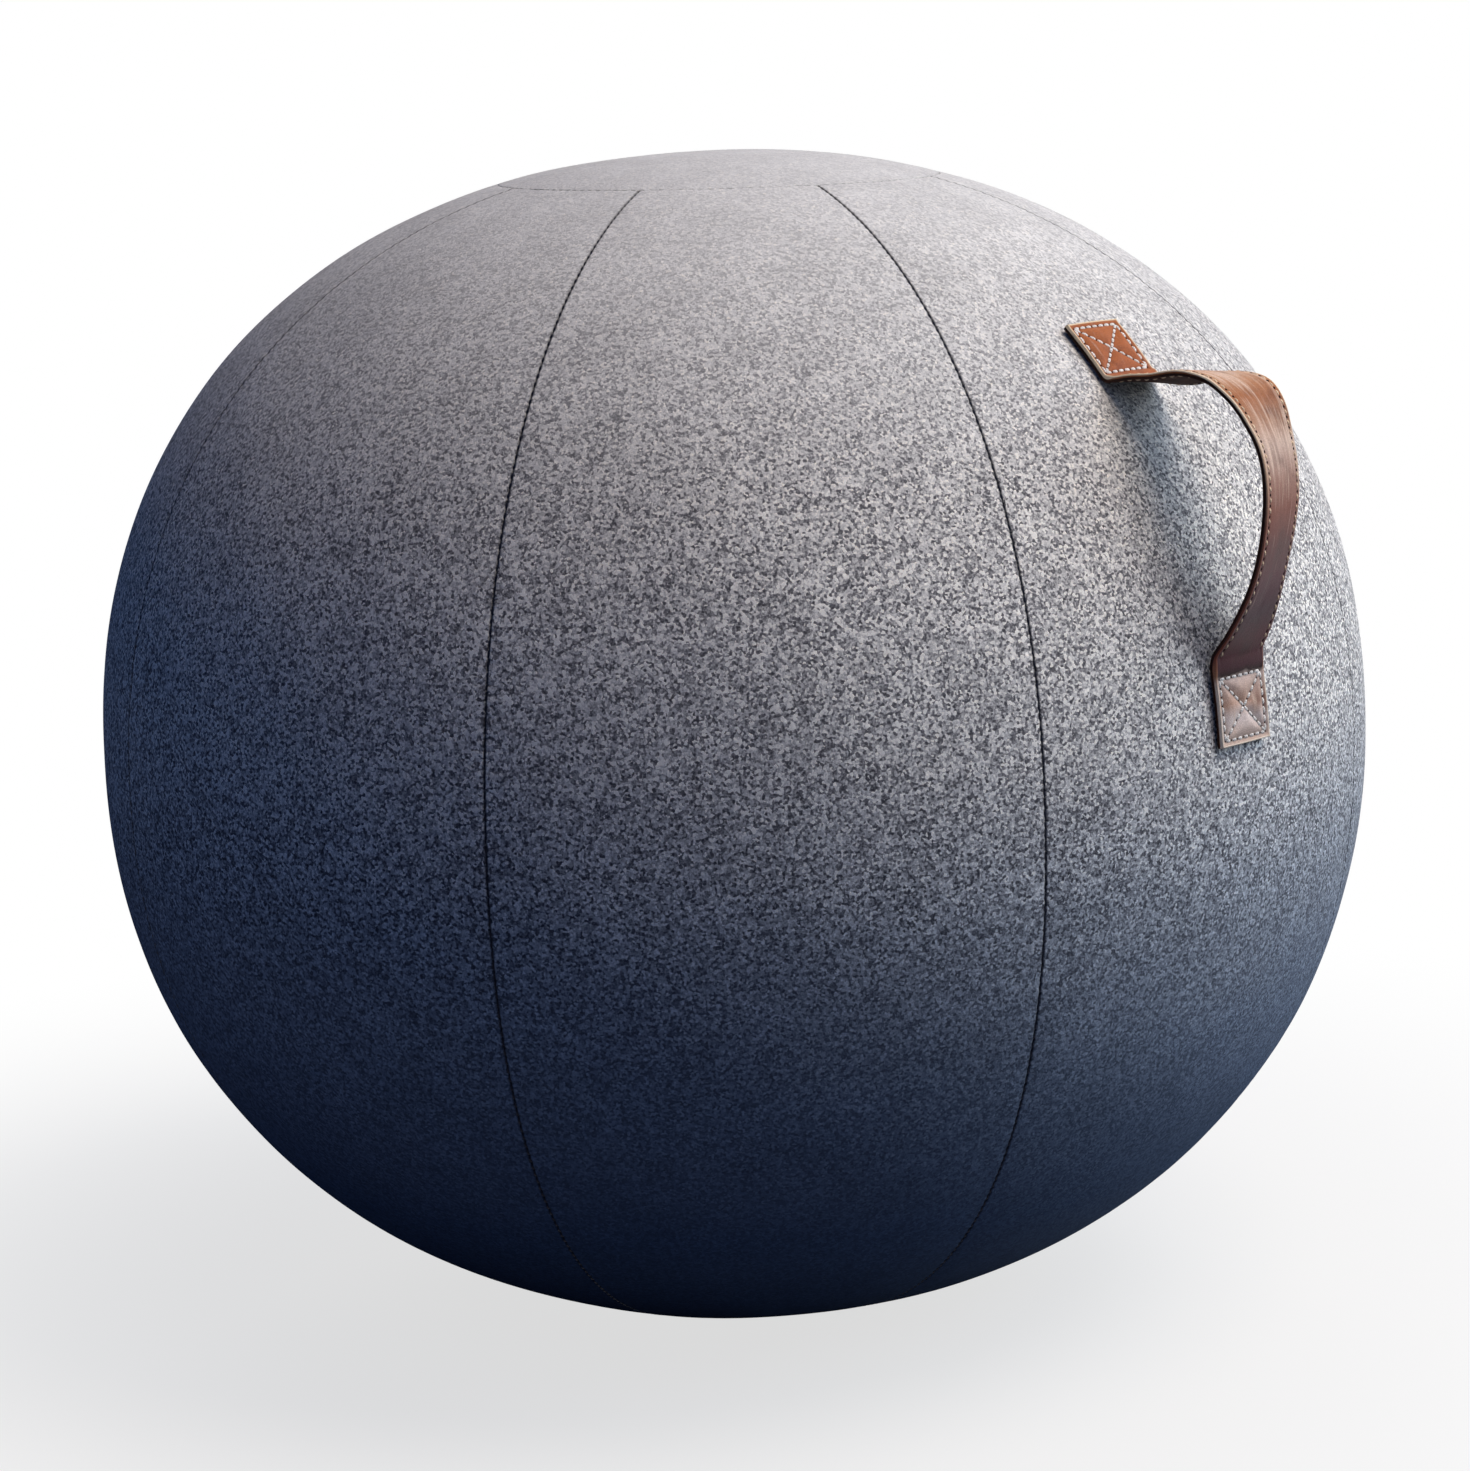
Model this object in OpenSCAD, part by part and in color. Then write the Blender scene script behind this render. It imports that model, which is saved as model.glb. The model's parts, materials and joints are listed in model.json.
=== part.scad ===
// Sitting ball: a gored felt cover with a leather handle and a zip under it, over a blown-up ball.
// Millimetres, +Z up. The origin is the middle of the flat foot on the floor. The handle's gore is at +X.

/* [Ball] */
// Width of the ball across its widest line
ball_w = 650; // [560:5:720]
// Height of the blown-up shape before its foot is pressed flat
ball_h = 595; // [520:5:660]
// Width of the flat patch that the ball rests on
foot_w = 170; // [140:2:180]
// Squareness of the half above the widest line, where 2 is an ellipse
crown_power = 2.2; // [2:0.02:2.4]
// Squareness of the half below the widest line
belly_power = 2.14; // [2:0.02:2.3]

/* [Cover] */
// Number of gore panels sewn side by side round the ball
gores = 8; // [7:1:10]
// Thickness of the felt
felt_t = 3; // [2.5:0.25:4]
// Width of the round panel that closes the cover at the top, and of the one under it
panel_w = 224; // [216:2:250]
// Width of the felt turned in along each seam
allow_w = 9; // [6:0.5:12]
// Width of the valley that a seam pulls into the felt
valley_w = 1.5; // [1:0.1:3]
// Depth of that valley
valley_d = 1.2; // [0.6:0.1:1.6]

/* [Zip] */
// Number of gores that the zip runs along
zip_gores = 5; // [3:1:5]
// Distance from the middle of the zip to the felt's cut edge
zip_open = 5.5; // [5.3:0.1:6.5]
// Width of each tape, from the middle of the zip
tape_w = 13; // [10:0.5:14]
// Thickness of the tape
tape_t = 0.8; // [0.5:0.1:1]
// Distance from one tooth to the next along a row
tooth_pitch = 5; // [4.5:0.25:7]
// Length of a tooth along the zip
tooth_w = 2.2; // [1.8:0.1:2.3]
// Reach of a tooth across its row
tooth_reach = 2.75; // [2.4:0.05:2.8]
// Thickness of the chain of teeth
chain_t = 2.6; // [2:0.1:2.6]
// Gap between the two rows, where the slider's divider travels
row_gap = 1.3; // [1.2:0.05:1.5]

/* [Slider] */
// Length of the slider along the zip
slider_l = 12; // [10.5:0.5:14]
// Width of the slider across the zip
slider_w = 9.4; // [9.2:0.1:9.8]
// Thickness of the slider's two plates
plate_t = 1; // [0.8:0.05:1.1]
// Thickness of the divider between the rows
divider_t = 0.8; // [0.6:0.05:0.9]
// Width of the crown that the pull hangs from
crown_w = 2.4; // [2:0.1:3]
// Length of the pull from its hinge
pull_l = 22; // [18:0.5:26]
// Width of the pull
pull_w = 8; // [7.6:0.1:9]
// Thickness of the pull
pull_t = 1.4; // [1:0.1:1.6]

/* [Handle] */
// Turn of the handle round the ball from the middle of its gore, in degrees
handle_turn = -1.4; // [-2:0.1:2]
// Width of the strap
strap_w = 37; // [28:1:48]
// Thickness of the outer leather
strap_t = 1.6; // [1.2:0.1:2.4]
// Thickness of the leather that lines it
lining_t = 1.1; // [0.8:0.1:2]
// Height of the upper fold above the widest line
head_h = 193; // [180:1:204]
// Height of the lower fold above the widest line
heel_h = 70; // [60:1:80]
// Length of the upper sewn end along the ball
head_pad = 35; // [28:1:38]
// Length of the lower sewn end along the ball
heel_pad = 39; // [30:1:42]
// Length of the pull of the arch away from its upper fold
head_pull = 103; // [90:1:116]
// Length of the pull of the arch away from its lower fold
heel_pull = 79; // [68:1:90]
// Rise of the arch where it leaves the upper fold, in degrees
head_rise = 13; // [6:1:18]
// Rise of the arch where it leaves the lower fold, in degrees
heel_rise = 60.5; // [56:0.5:66]
// Inner radius of the upper fold
head_fold_r = 7; // [5:0.5:9]
// Inner radius of the lower fold
heel_fold_r = 15; // [10:0.5:18]
// Thickness of the patches behind the sewn ends
backing_t = 1.5; // [1:0.1:2]
// Width that a patch shows round a sewn end on every side
backing_margin = 5; // [3:0.5:8]

/* [Inner ball] */
// Thickness of the ball's wall
wall_t = 1.2; // [0.8:0.1:2]
// Distance of the valve from the middle of the foot
valve_x = 60; // [45:1:62]
// Width of the valve seat's collar
collar_w = 16; // [15:0.5:18]
// Height of the collar inside the ball
collar_h = 12; // [10:0.5:16]
// Width of the flange welded to the wall
flange_w = 34; // [28:1:40]
// Width of the valve's bore
bore_w = 7; // [6:0.1:8]
// Width of the plug's head
plug_head_w = 13; // [12:0.1:13.4]

/* [Hidden] */
$fn = 96;

gore_names = [for (i = [1:gores]) str("gore_panel_", i)];

// Clearances: sewn edges, laid surfaces, moving pieces, the tape in its slots, and the plug in its bore
seam_gap = 0.2;
lay_gap = 0.3;
run_gap = 0.3;
slot_gap = 0.05;
plug_gap = 0.1;

// Places on the ball's outline, r from the axis and z above the floor
half_w = ball_w / 2;
half_h = ball_h / 2;
foot_r = foot_w / 2;
panel_r = panel_w / 2;
rings = 18;
mid_z = half_h * pow(sin(belly_angle(foot_r)), 2 / belly_power);
full_h = mid_z + half_h;
gore_angle = 360 / gores;

// The zip lies on a straight slope, which reaches past both tapes
slope_half = tape_w + 3;
slope_in = belly_angle(panel_r - slope_half);
slope_out = belly_angle(panel_r + slope_half);

// Depths below the felt's outer face
tape_depth = felt_t + slot_gap * 2;
chain_depth = tape_depth + tape_t / 2;
channel = chain_t / 2 + run_gap;
slider_half = channel + plate_t;
ball_depth = max(2 * felt_t, chain_depth + slider_half) + lay_gap;

// The arc of the zip, opposite the handle and ending on two gore seams
zip_start = 180 - zip_gores * gore_angle / 2;
zip_arc = zip_gores * gore_angle;
zip_mid = line_z(lower(chain_depth), panel_r);
zip_tilt = atan2(
    line_z(lower(chain_depth), panel_r + tape_w) - line_z(lower(chain_depth), panel_r - tape_w), 2 * tape_w);
tape_margin = arc_angle(1);
chain_margin = arc_angle(6);
chain_start = zip_start + chain_margin;
chain_arc = zip_arc - 2 * chain_margin;
stop_w = 3;
stop_arc = arc_angle(stop_w + 1);
teeth = floor((chain_arc - 2 * stop_arc) / arc_angle(tooth_pitch));
slider_margin = stop_arc + arc_angle(slider_l / 2 + 1);
slider_start = chain_start + slider_margin;
slider_travel = chain_arc - 2 * slider_margin;
tape_edge = row_gap / 2 + 1.1;

// The pull turns on a bar under the crown, just outside the felt
bar_h = chain_depth + lay_gap + pull_t / 2 + 0.1;
crown_in = bar_h + pull_t / 2 + run_gap;
crown_t = 1;
crown_leg = 1.3;
crown_half = 2.9;
window_w = crown_w + 1.6;
window_l = norm([crown_half + crown_leg, crown_in + crown_t - bar_h]) + run_gap;

function arc_angle(length) = length / panel_r * 180 / PI;
function reversed(list) = [for (i = [len(list) - 1:-1:0]) list[i]];
function line_z(line, r) = lookup(r, line);

// Angle on the lower half at which the outline is r from the axis
function belly_angle(r) = acos(pow(r / half_w, belly_power / 2));
function crown_angle(z) = asin(pow(z / half_h, crown_power / 2));

// Points of the outline at a depth below the felt's outer face, one for each half
function crown_point(d, t) = [
    (half_w - d) * pow(cos(t), 2 / crown_power),
    mid_z + (half_h - d) * pow(sin(t), 2 / crown_power)
];
function belly_point(d, t) = [
    (half_w - d) * pow(cos(t), 2 / belly_power),
    mid_z - (half_h - d) * pow(sin(t), 2 / belly_power)
];

// Each half as a line from the axis out to the widest line, the lower one pressed flat at the foot
function upper(d) = [for (i = [0:rings]) crown_point(d, 90 * (1 - i / rings))];
function foot_angle(d) = asin(pow((mid_z - d) / (half_h - d), belly_power / 2));
function lower(d) = concat(
    [[0, d], belly_point(d, foot_angle(d)), belly_point(d, slope_in)],
    [for (i = [0:rings]) belly_point(d, slope_out * (1 - i / rings))]
);

// The stretch of a line between two radii, with its ends cut on the line itself
function stretch(line, r1, r2) = concat(
    [[r1, line_z(line, r1)]],
    [for (p = line) if (p[0] > r1 && p[0] < r2) p],
    [[r2, line_z(line, r2)]]
);
function layer(outer, inner, r1, r2) =
    concat(stretch(outer, r1, r2), reversed(stretch(inner, r1, r2)));

// The whole side at one depth, from a radius at the top down to a radius at the base
function side(d, r_top, r_base) = concat(
    stretch(upper(d), r_top, half_w - d),
    [for (p = reversed(stretch(lower(d), r_base, half_w - d))) if (p[0] < half_w - d) p]
);
function side_layer(d1, d2, r_top, r_base) =
    concat(side(d1, r_top, r_base), reversed(side(d2, r_top, r_base)));

// Radii at a round seam: the sewn edge, the lip of its valley and the end of the turned-in felt
seam_out = panel_r + seam_gap / 2;
seam_in = panel_r - seam_gap / 2;
lip_out = panel_r + valley_w / 2;
lip_in = panel_r - valley_w / 2;
turn_out = panel_r + allow_w;
turn_in = panel_r - allow_w;
cut_out = panel_r + zip_open * cos(zip_tilt);
cut_in = panel_r - zip_open * cos(zip_tilt);
turned = 2 * felt_t;

// Cross-section of a gore with its felt turned in at the round seams, or cut back along the zip
function gore_section(zipped) = concat(
    stretch(upper(valley_d), seam_out, lip_out),
    side(0, lip_out, zipped ? cut_out : lip_out),
    zipped ? [] : reversed(stretch(lower(valley_d), seam_out, lip_out)),
    zipped ? [] : stretch(lower(turned), seam_out, turn_out),
    reversed(side(felt_t, turn_out, zipped ? cut_out : turn_out)),
    reversed(stretch(upper(turned), seam_out, turn_out))
);

// Felt along one side of a gore: the floor of the valley and the felt turned in behind it
module gore_edge(zipped) {
    reach = 1.5 * asin(allow_w / panel_r);
    end = panel_r + tape_w + 1;
    intersection() {
        union() {
            rotate_extrude(angle = reach)
                polygon(side_layer(valley_d, turned, seam_out, zipped ? end : seam_out));
            if (zipped)
                rotate_extrude(angle = reach)
                    polygon(layer(lower(valley_d), lower(felt_t), cut_out, end));
        }
        translate([0, -1, -1]) cube([ball_w, allow_w + 1, full_h + 2]);
    }
}

module gore_panel(i) {
    zipped = i > gores / 2 - zip_gores / 2 + 1 && i < gores / 2 + zip_gores / 2 + 1;
    shade = i % 2 == 0 ? [0.56, 0.56, 0.6] : [0.6, 0.6, 0.64];
    color(shade) rotate([0, 0, (i - 1) * gore_angle]) {
        difference() {
            rotate([0, 0, -gore_angle / 2]) rotate_extrude(angle = gore_angle) polygon(gore_section(zipped));
            for (m = [0, 1])
                mirror([0, m, 0]) rotate([0, 0, -gore_angle / 2])
                    translate([0, -1, -1]) cube([ball_w, 1 + valley_w / 2, full_h + 2]);
        }
        for (m = [0, 1])
            mirror([0, m, 0]) rotate([0, 0, -gore_angle / 2]) gore_edge(zipped);
    }
}

module top_panel() {
    color([0.66, 0.66, 0.7]) rotate_extrude()
        polygon(concat(
            stretch(upper(0), 0, lip_in),
            stretch(upper(valley_d), lip_in, seam_in),
            reversed(stretch(upper(turned), turn_in, seam_in)),
            reversed(stretch(upper(felt_t), 0, turn_in))
        ));
}

// The base panel has its felt turned in where it is sewn to the gores, and cut back along the zip
module base_panel() {
    color([0.22, 0.24, 0.32]) difference() {
        rotate_extrude() polygon(concat(
            stretch(lower(0), 0, lip_in),
            stretch(lower(valley_d), lip_in, seam_in),
            reversed(stretch(lower(turned), turn_in, seam_in)),
            reversed(stretch(lower(felt_t), 0, turn_in))
        ));
        rotate([0, 0, zip_start]) rotate_extrude(angle = zip_arc) polygon(concat(
            stretch(lower(felt_t), turn_in, cut_in),
            [[cut_in, -felt_t], [panel_r, -felt_t], [panel_r, mid_z], [turn_in, mid_z]]
        ));
    }
}

// Frame on the zip at an angle round the ball: X outwards up the slope, Y along the zip, Z into the ball
module on_zip(angle) {
    rotate([0, 0, angle]) translate([panel_r, 0, zip_mid]) rotate([0, -zip_tilt, 0]) children();
}

module zip_tape(from, to) {
    color([0.13, 0.14, 0.2]) rotate([0, 0, zip_start + tape_margin])
        rotate_extrude(angle = zip_arc - 2 * tape_margin)
            polygon(layer(
                lower(tape_depth), lower(tape_depth + tape_t),
                panel_r + from * cos(zip_tilt), panel_r + to * cos(zip_tilt)));
}
module zip_tape_outer() zip_tape(tape_edge, tape_w);
module zip_tape_inner() zip_tape(-tape_w, -tape_edge);

// A tooth seen from outside: a rounded head that faces the other row, a neck and two legs on the tape
module tooth_outline() {
    head = 0.55;
    neck = 0.75 * tooth_w;
    half = [
        [0, tooth_w / 2 - 0.4], [head * 0.6, tooth_w / 2], [head * 1.6, tooth_w / 2],
        [head * 2, neck / 2], [tooth_reach, neck / 2]
    ];
    polygon(concat([for (p = half) [p[0], -p[1]]], reversed(half)));
}

// A block of the chain, slotted for the edge of the tape
module slotted(length) {
    slot = tape_t + 2 * slot_gap;
    start = tape_edge - 2 * slot_gap;
    difference() {
        children();
        translate([start, -length, -slot / 2]) cube([tooth_reach + 1, 2 * length, slot]);
    }
}
module tooth() {
    slotted(tooth_w) translate([row_gap / 2, 0, -chain_t / 2]) linear_extrude(chain_t) tooth_outline();
}
module teeth_row(shift) {
    first = chain_start + stop_arc + arc_angle(tooth_pitch) * (0.25 + shift);
    for (i = [0:teeth - 1]) on_zip(first + i * arc_angle(tooth_pitch)) mirror([shift * 2, 0, 0]) tooth();
}
module zip_teeth_outer() color([0.1, 0.11, 0.16]) teeth_row(0);
module zip_teeth_inner() color([0.1, 0.11, 0.16]) teeth_row(0.5);

// Two stops where the closed zip ends, and one across both rows where it opens last
module stop_block(from) {
    reach = row_gap / 2 + tooth_reach - from;
    slotted(stop_w) translate([from, -stop_w / 2, -chain_t / 2]) cube([reach, stop_w, chain_t]);
}
module zip_stops() {
    color([0.5, 0.5, 0.54]) {
        for (m = [0, 1])
            on_zip(chain_start + stop_arc / 2) mirror([m, 0, 0]) stop_block(row_gap / 2);
        on_zip(chain_start + chain_arc - stop_arc / 2)
            for (m = [0, 1]) mirror([m, 0, 0]) stop_block(0);
    }
}

// The slider: two plates round the chain, lips over the tapes, a divider between the rows and a crown
module plate() {
    intersection() {
        square([slider_w, slider_l], center = true);
        circle(d = norm([slider_w, slider_l]) * 0.92);
    }
}
module crown_outline() {
    out = crown_in + crown_t;
    base = channel + plate_t / 2;
    corner = 1.2;
    half = crown_half + crown_leg;
    difference() {
        union() {
            translate([-half, -out + corner]) square([2 * half, out - corner - base]);
            translate([-half + corner, -out]) square([2 * (half - corner), out - base]);
            for (s = [-1, 1]) translate([s * (half - corner), -out + corner]) circle(corner);
        }
        translate([-crown_half, -crown_in]) square([2 * crown_half, crown_in - slider_half]);
    }
}
module zip_slider() {
    lip_t = 0.8;
    lip_l = slider_l - 4;
    lip_h = channel - tape_t / 2 - run_gap;
    divider_l = 2.4;
    divider_h = 2 * slider_half - plate_t;
    color([0.62, 0.62, 0.65]) on_zip(slider_start) {
        for (m = [0, 1]) mirror([0, 0, m]) {
            translate([0, 0, channel]) linear_extrude(plate_t) plate();
            for (s = [0, 1]) mirror([s, 0, 0])
                translate([slider_w / 2 - lip_t, -lip_l / 2, channel - lip_h])
                    cube([lip_t, lip_l, lip_h + plate_t / 2]);
        }
        rotate([90, 0, 90]) linear_extrude(crown_w, center = true) crown_outline();
    }
    color([0.62, 0.62, 0.65]) on_zip(slider_start - arc_angle(slider_l / 3))
        cube([divider_t, divider_l, divider_h], center = true);
}

// The pull, flat along the zip: a bar under the crown, a window round the crown's leg and a tongue
pull_neck = window_w + 2 * 1.7;
module pull_outline() {
    bridge = 1.5;
    hole_w = 3;
    tip = pull_w / 2;
    difference() {
        union() {
            translate([-pull_neck / 2, 0]) square([pull_neck, window_l + bridge]);
            translate([-pull_w / 2, window_l + bridge]) square([pull_w, pull_l - tip - window_l - bridge]);
            translate([0, pull_l - tip]) circle(tip);
        }
        translate([-window_w / 2, -1]) square([window_w, window_l + 1]);
        translate([0, pull_l - tip]) circle(d = hole_w);
    }
}
module zip_pull() {
    color([0.68, 0.68, 0.7]) on_zip(slider_start) translate([0, 0, -bar_h]) {
        rotate([0, 90, 0]) cylinder(d = pull_t, h = pull_neck, center = true);
        translate([0, 0, -pull_t / 2]) linear_extrude(pull_t) pull_outline();
    }
}

// The strap's line down the ball, in the plane of the handle, as r and z. Its outer side is on the left
head_t = crown_angle(head_h);
heel_t = crown_angle(heel_h);
function felt_point(t) = crown_point(-lay_gap, t);
function felt_heading(t) = heading(felt_point(t + 0.5), felt_point(t - 0.5));
function degrees_for(t, length) = length / norm(felt_point(t + 0.5) - felt_point(t - 0.5));
function heading(a, b) = atan2(b[1] - a[1], b[0] - a[0]);
function toward(a) = [cos(a), sin(a)];
function pad_points(t1, t2, n) = [for (i = [0:n]) felt_point(t1 + (t2 - t1) * i / n)];

// A fold of radius r at a corner, turning left from heading a to heading b
function fold_back(a, b, r) = r * tan((b - a) / 2);
function fold(corner, a, b, r, n) =
    let (centre = corner - fold_back(a, b, r) * toward(a) + r * toward(a + 90))
    [for (i = [0:n]) centre + r * toward(a - 90 + (b - a) * i / n)];

// A cubic curve between two points with their two pulls
function arch(p, q, u, v, n) = [for (i = [1:n - 1]) let (s = i / n, k = 1 - s)
    k * k * k * p + 3 * k * k * s * (p + u) + 3 * k * s * s * (q + v) + s * s * s * q];

head_in = felt_heading(head_t);
heel_in = heel_rise - 180;
heel_out = felt_heading(heel_t);
head_corner = felt_point(head_t);
heel_corner = felt_point(heel_t);
head_back = fold_back(head_in, head_rise, head_fold_r);
heel_back = fold_back(heel_in, heel_out, heel_fold_r);
head_lift = head_t + degrees_for(head_t, head_back);
heel_land = heel_t - degrees_for(heel_t, heel_back);
head_pad_in = head_t + degrees_for(head_t, head_pad);
heel_pad_in = heel_t - degrees_for(heel_t, heel_pad);
strap_line = concat(
    pad_points(head_pad_in, head_lift + 0.4, 6),
    fold(head_corner, head_in, head_rise, head_fold_r, 8),
    arch(
        head_corner + head_back * toward(head_rise), heel_corner + heel_back * toward(heel_rise),
        (head_pull - head_back) * toward(head_rise), (heel_pull - heel_back) * toward(heel_rise), 36),
    fold(heel_corner, heel_in, heel_out, heel_fold_r, 8),
    pad_points(heel_land - 0.4, heel_pad_in, 6)
);

// The line moved to its left, and the leather between two such lines across the strap's width
function left_of(line, d) = [for (i = [0:len(line) - 1])
    let (a = line[max(i - 1, 0)], b = line[min(i + 1, len(line) - 1)])
    line[i] + d * toward(heading(a, b) + 90)];
module leather(from, to) {
    rotate([90, 0, handle_turn]) linear_extrude(strap_w, center = true)
        polygon(concat(left_of(strap_line, from), reversed(left_of(strap_line, to))));
}
strap_in = lining_t + slot_gap;
module handle_strap() color([0.5, 0.24, 0.12]) leather(strap_in, strap_in + strap_t);
module handle_lining() color([0.42, 0.2, 0.11]) leather(0, lining_t);

// Patches behind the sewn ends, laid against the inside of the felt between two heights
function turned_round(line) = [for (p = reversed(line)) [p[1], p[0]]];
module handle_backing(t1, t2) {
    depth = felt_t + lay_gap;
    low = crown_point(0, min(t1, t2))[1] - backing_margin;
    high = crown_point(0, max(t1, t2))[1] + backing_margin;
    angle = (strap_w + 2 * backing_margin) / crown_point(depth, (t1 + t2) / 2)[0] * 180 / PI;
    section = layer(turned_round(upper(depth)), turned_round(upper(depth + backing_t)), low, high);
    color([0.35, 0.35, 0.4]) rotate([0, 0, handle_turn - angle / 2]) rotate_extrude(angle = angle)
        polygon([for (p = section) [p[1], p[0]]]);
}
module handle_backing_upper() handle_backing(head_pad_in, head_t);
module handle_backing_lower() handle_backing(heel_pad_in, heel_t);

// The blown-up ball, with a hole for its valve seat
module inner_ball() {
    color([0.55, 0.58, 0.62]) difference() {
        rotate_extrude() polygon(side_layer(ball_depth, ball_depth + wall_t, 0, 0));
        translate([valve_x, 0, ball_depth - 1]) cylinder(d = collar_w + 2 * plug_gap, h = wall_t + 2);
    }
}

// The valve seat: a collar with a flange on the inside of the wall, a bore and a sunk seat for the plug
flange_t = 1.5;
head_seat_d = 2;
plug_head_t = 1.6;
module valve_seat() {
    color([0.8, 0.82, 0.84]) translate([valve_x, 0, ball_depth]) difference() {
        union() {
            cylinder(d = collar_w, h = collar_h);
            translate([0, 0, wall_t]) cylinder(d = flange_w, h = flange_t);
        }
        translate([0, 0, -1]) cylinder(d = bore_w, h = collar_h + 2);
        translate([0, 0, -1]) cylinder(d = plug_head_w + 4 * plug_gap, h = head_seat_d + 1);
    }
}

// The plug: a head with a finger rim, a hollow shank and three rings that grip the bore
module valve_plug() {
    shank = bore_w - 0.8;
    length = collar_h - head_seat_d + 1.5;
    color([0.92, 0.92, 0.9]) translate([valve_x, 0, ball_depth + head_seat_d - plug_head_t]) difference() {
        union() {
            cylinder(d = plug_head_w, h = plug_head_t);
            cylinder(d = shank, h = plug_head_t + length);
            for (i = [1:3])
                translate([0, 0, plug_head_t + i * length / 4])
                    cylinder(d1 = bore_w - 2 * plug_gap, d2 = shank, h = 1.4);
        }
        translate([0, 0, plug_head_t + 1]) cylinder(d = shank - 2.4, h = length);
        translate([0, 0, -1]) difference() {
            cylinder(d = plug_head_w - 2.4, h = 1.5);
            translate([0, 0, -1]) cylinder(d = plug_head_w / 3, h = 4);
        }
    }
}

for (i = [1:gores]) gore_panel(i);
top_panel();
base_panel();
zip_tape_outer();
zip_tape_inner();
zip_teeth_outer();
zip_teeth_inner();
zip_stops();
zip_slider();
zip_pull();
handle_strap();
handle_lining();
handle_backing_upper();
handle_backing_lower();
inner_ball();
valve_seat();
valve_plug();
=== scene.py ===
# A sitting ball: melange felt gores sewn over a blown-up ball, a leather strap handle and a zip under the ball.
# Everything is in metres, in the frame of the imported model. +X goes out through the gore that carries the handle.
import json
import math

import bmesh
import bpy
import numpy as np
from mathutils import Matrix, Vector
from mathutils.bvhtree import BVHTree

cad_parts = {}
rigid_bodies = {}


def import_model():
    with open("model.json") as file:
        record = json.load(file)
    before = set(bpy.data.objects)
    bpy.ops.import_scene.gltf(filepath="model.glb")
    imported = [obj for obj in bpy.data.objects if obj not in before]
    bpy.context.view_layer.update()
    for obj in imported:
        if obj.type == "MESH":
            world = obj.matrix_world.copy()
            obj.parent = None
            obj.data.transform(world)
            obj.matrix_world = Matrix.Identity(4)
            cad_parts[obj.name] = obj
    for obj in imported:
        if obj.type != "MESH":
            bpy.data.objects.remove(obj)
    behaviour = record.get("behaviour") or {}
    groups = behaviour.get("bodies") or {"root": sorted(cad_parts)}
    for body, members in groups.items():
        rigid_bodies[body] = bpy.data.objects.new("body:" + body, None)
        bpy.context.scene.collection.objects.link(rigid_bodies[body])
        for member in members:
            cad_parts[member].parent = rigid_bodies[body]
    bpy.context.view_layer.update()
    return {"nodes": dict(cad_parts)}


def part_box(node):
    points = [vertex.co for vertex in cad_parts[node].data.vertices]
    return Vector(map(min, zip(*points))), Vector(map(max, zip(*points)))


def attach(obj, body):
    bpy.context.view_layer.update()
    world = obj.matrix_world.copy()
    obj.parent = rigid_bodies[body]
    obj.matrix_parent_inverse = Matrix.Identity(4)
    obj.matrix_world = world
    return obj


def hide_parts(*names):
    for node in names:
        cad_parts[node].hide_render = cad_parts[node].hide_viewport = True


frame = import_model()
print("frame loaded:", len(frame["nodes"]), "nodes")

mm = 0.001
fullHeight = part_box("top_panel")[1].z
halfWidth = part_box("gore_panel_1")[1].x

ballShape = {
    "crownPower": 2.2,       # squareness of the half above the widest line
    "bellyPower": 2.14,      # squareness of the half below it
    "shapeHeight": 0.595,    # height before the foot is pressed flat
    "gores": 8,
    "panelRadius": 0.112,    # round panels at the top and under the ball
    "footRounding": 0.0035,  # how softly the belly turns into the flat foot
}
halfHeight = ballShape["shapeHeight"] / 2
midHeight = fullHeight - halfHeight
goreAngle = 2 * math.pi / ballShape["gores"]

cameraSet = {
    "turn": 42.2,        # degrees round the ball from -Y
    "rise": 10.9,        # degrees above the level
    "roll": -0.027,      # radians, the ball leans a little to the left in the picture
    "distance": 1.95,
    "focalPixels": 3739.6,
    "pictureSide": 1471,
    "offset": (-1.0, 8.2),  # pixels from the middle of the picture, to the right and down
    "sensorWidth": 36,      # millimetres
}


def addCamera(c):
    data = bpy.data.cameras.new("camera")
    data.sensor_width = c["sensorWidth"]
    data.lens = c["focalPixels"] * c["sensorWidth"] / c["pictureSide"]
    data.clip_start, data.clip_end = 0.05, 100
    cam = bpy.data.objects.new("camera", data)
    bpy.context.scene.collection.objects.link(cam)
    turned = (Matrix.Rotation(math.radians(c["rise"]), 4, "X") @ Matrix.Rotation(c["roll"], 4, "Y")
              @ Matrix.Rotation(math.radians(-c["turn"]), 4, "Z"))
    aim = (Matrix.Rotation(math.atan(c["offset"][0] / c["focalPixels"]), 4, "Y")
           @ Matrix.Rotation(-math.atan(c["offset"][1] / c["focalPixels"]), 4, "X"))
    cam.matrix_world = (Matrix.Translation((0, 0, midHeight)) @ turned.inverted()
                        @ Matrix.Translation((0, -c["distance"], 0)) @ Matrix.Rotation(math.pi / 2, 4, "X") @ aim)
    bpy.context.scene.camera = cam


addCamera(cameraSet)


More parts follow.
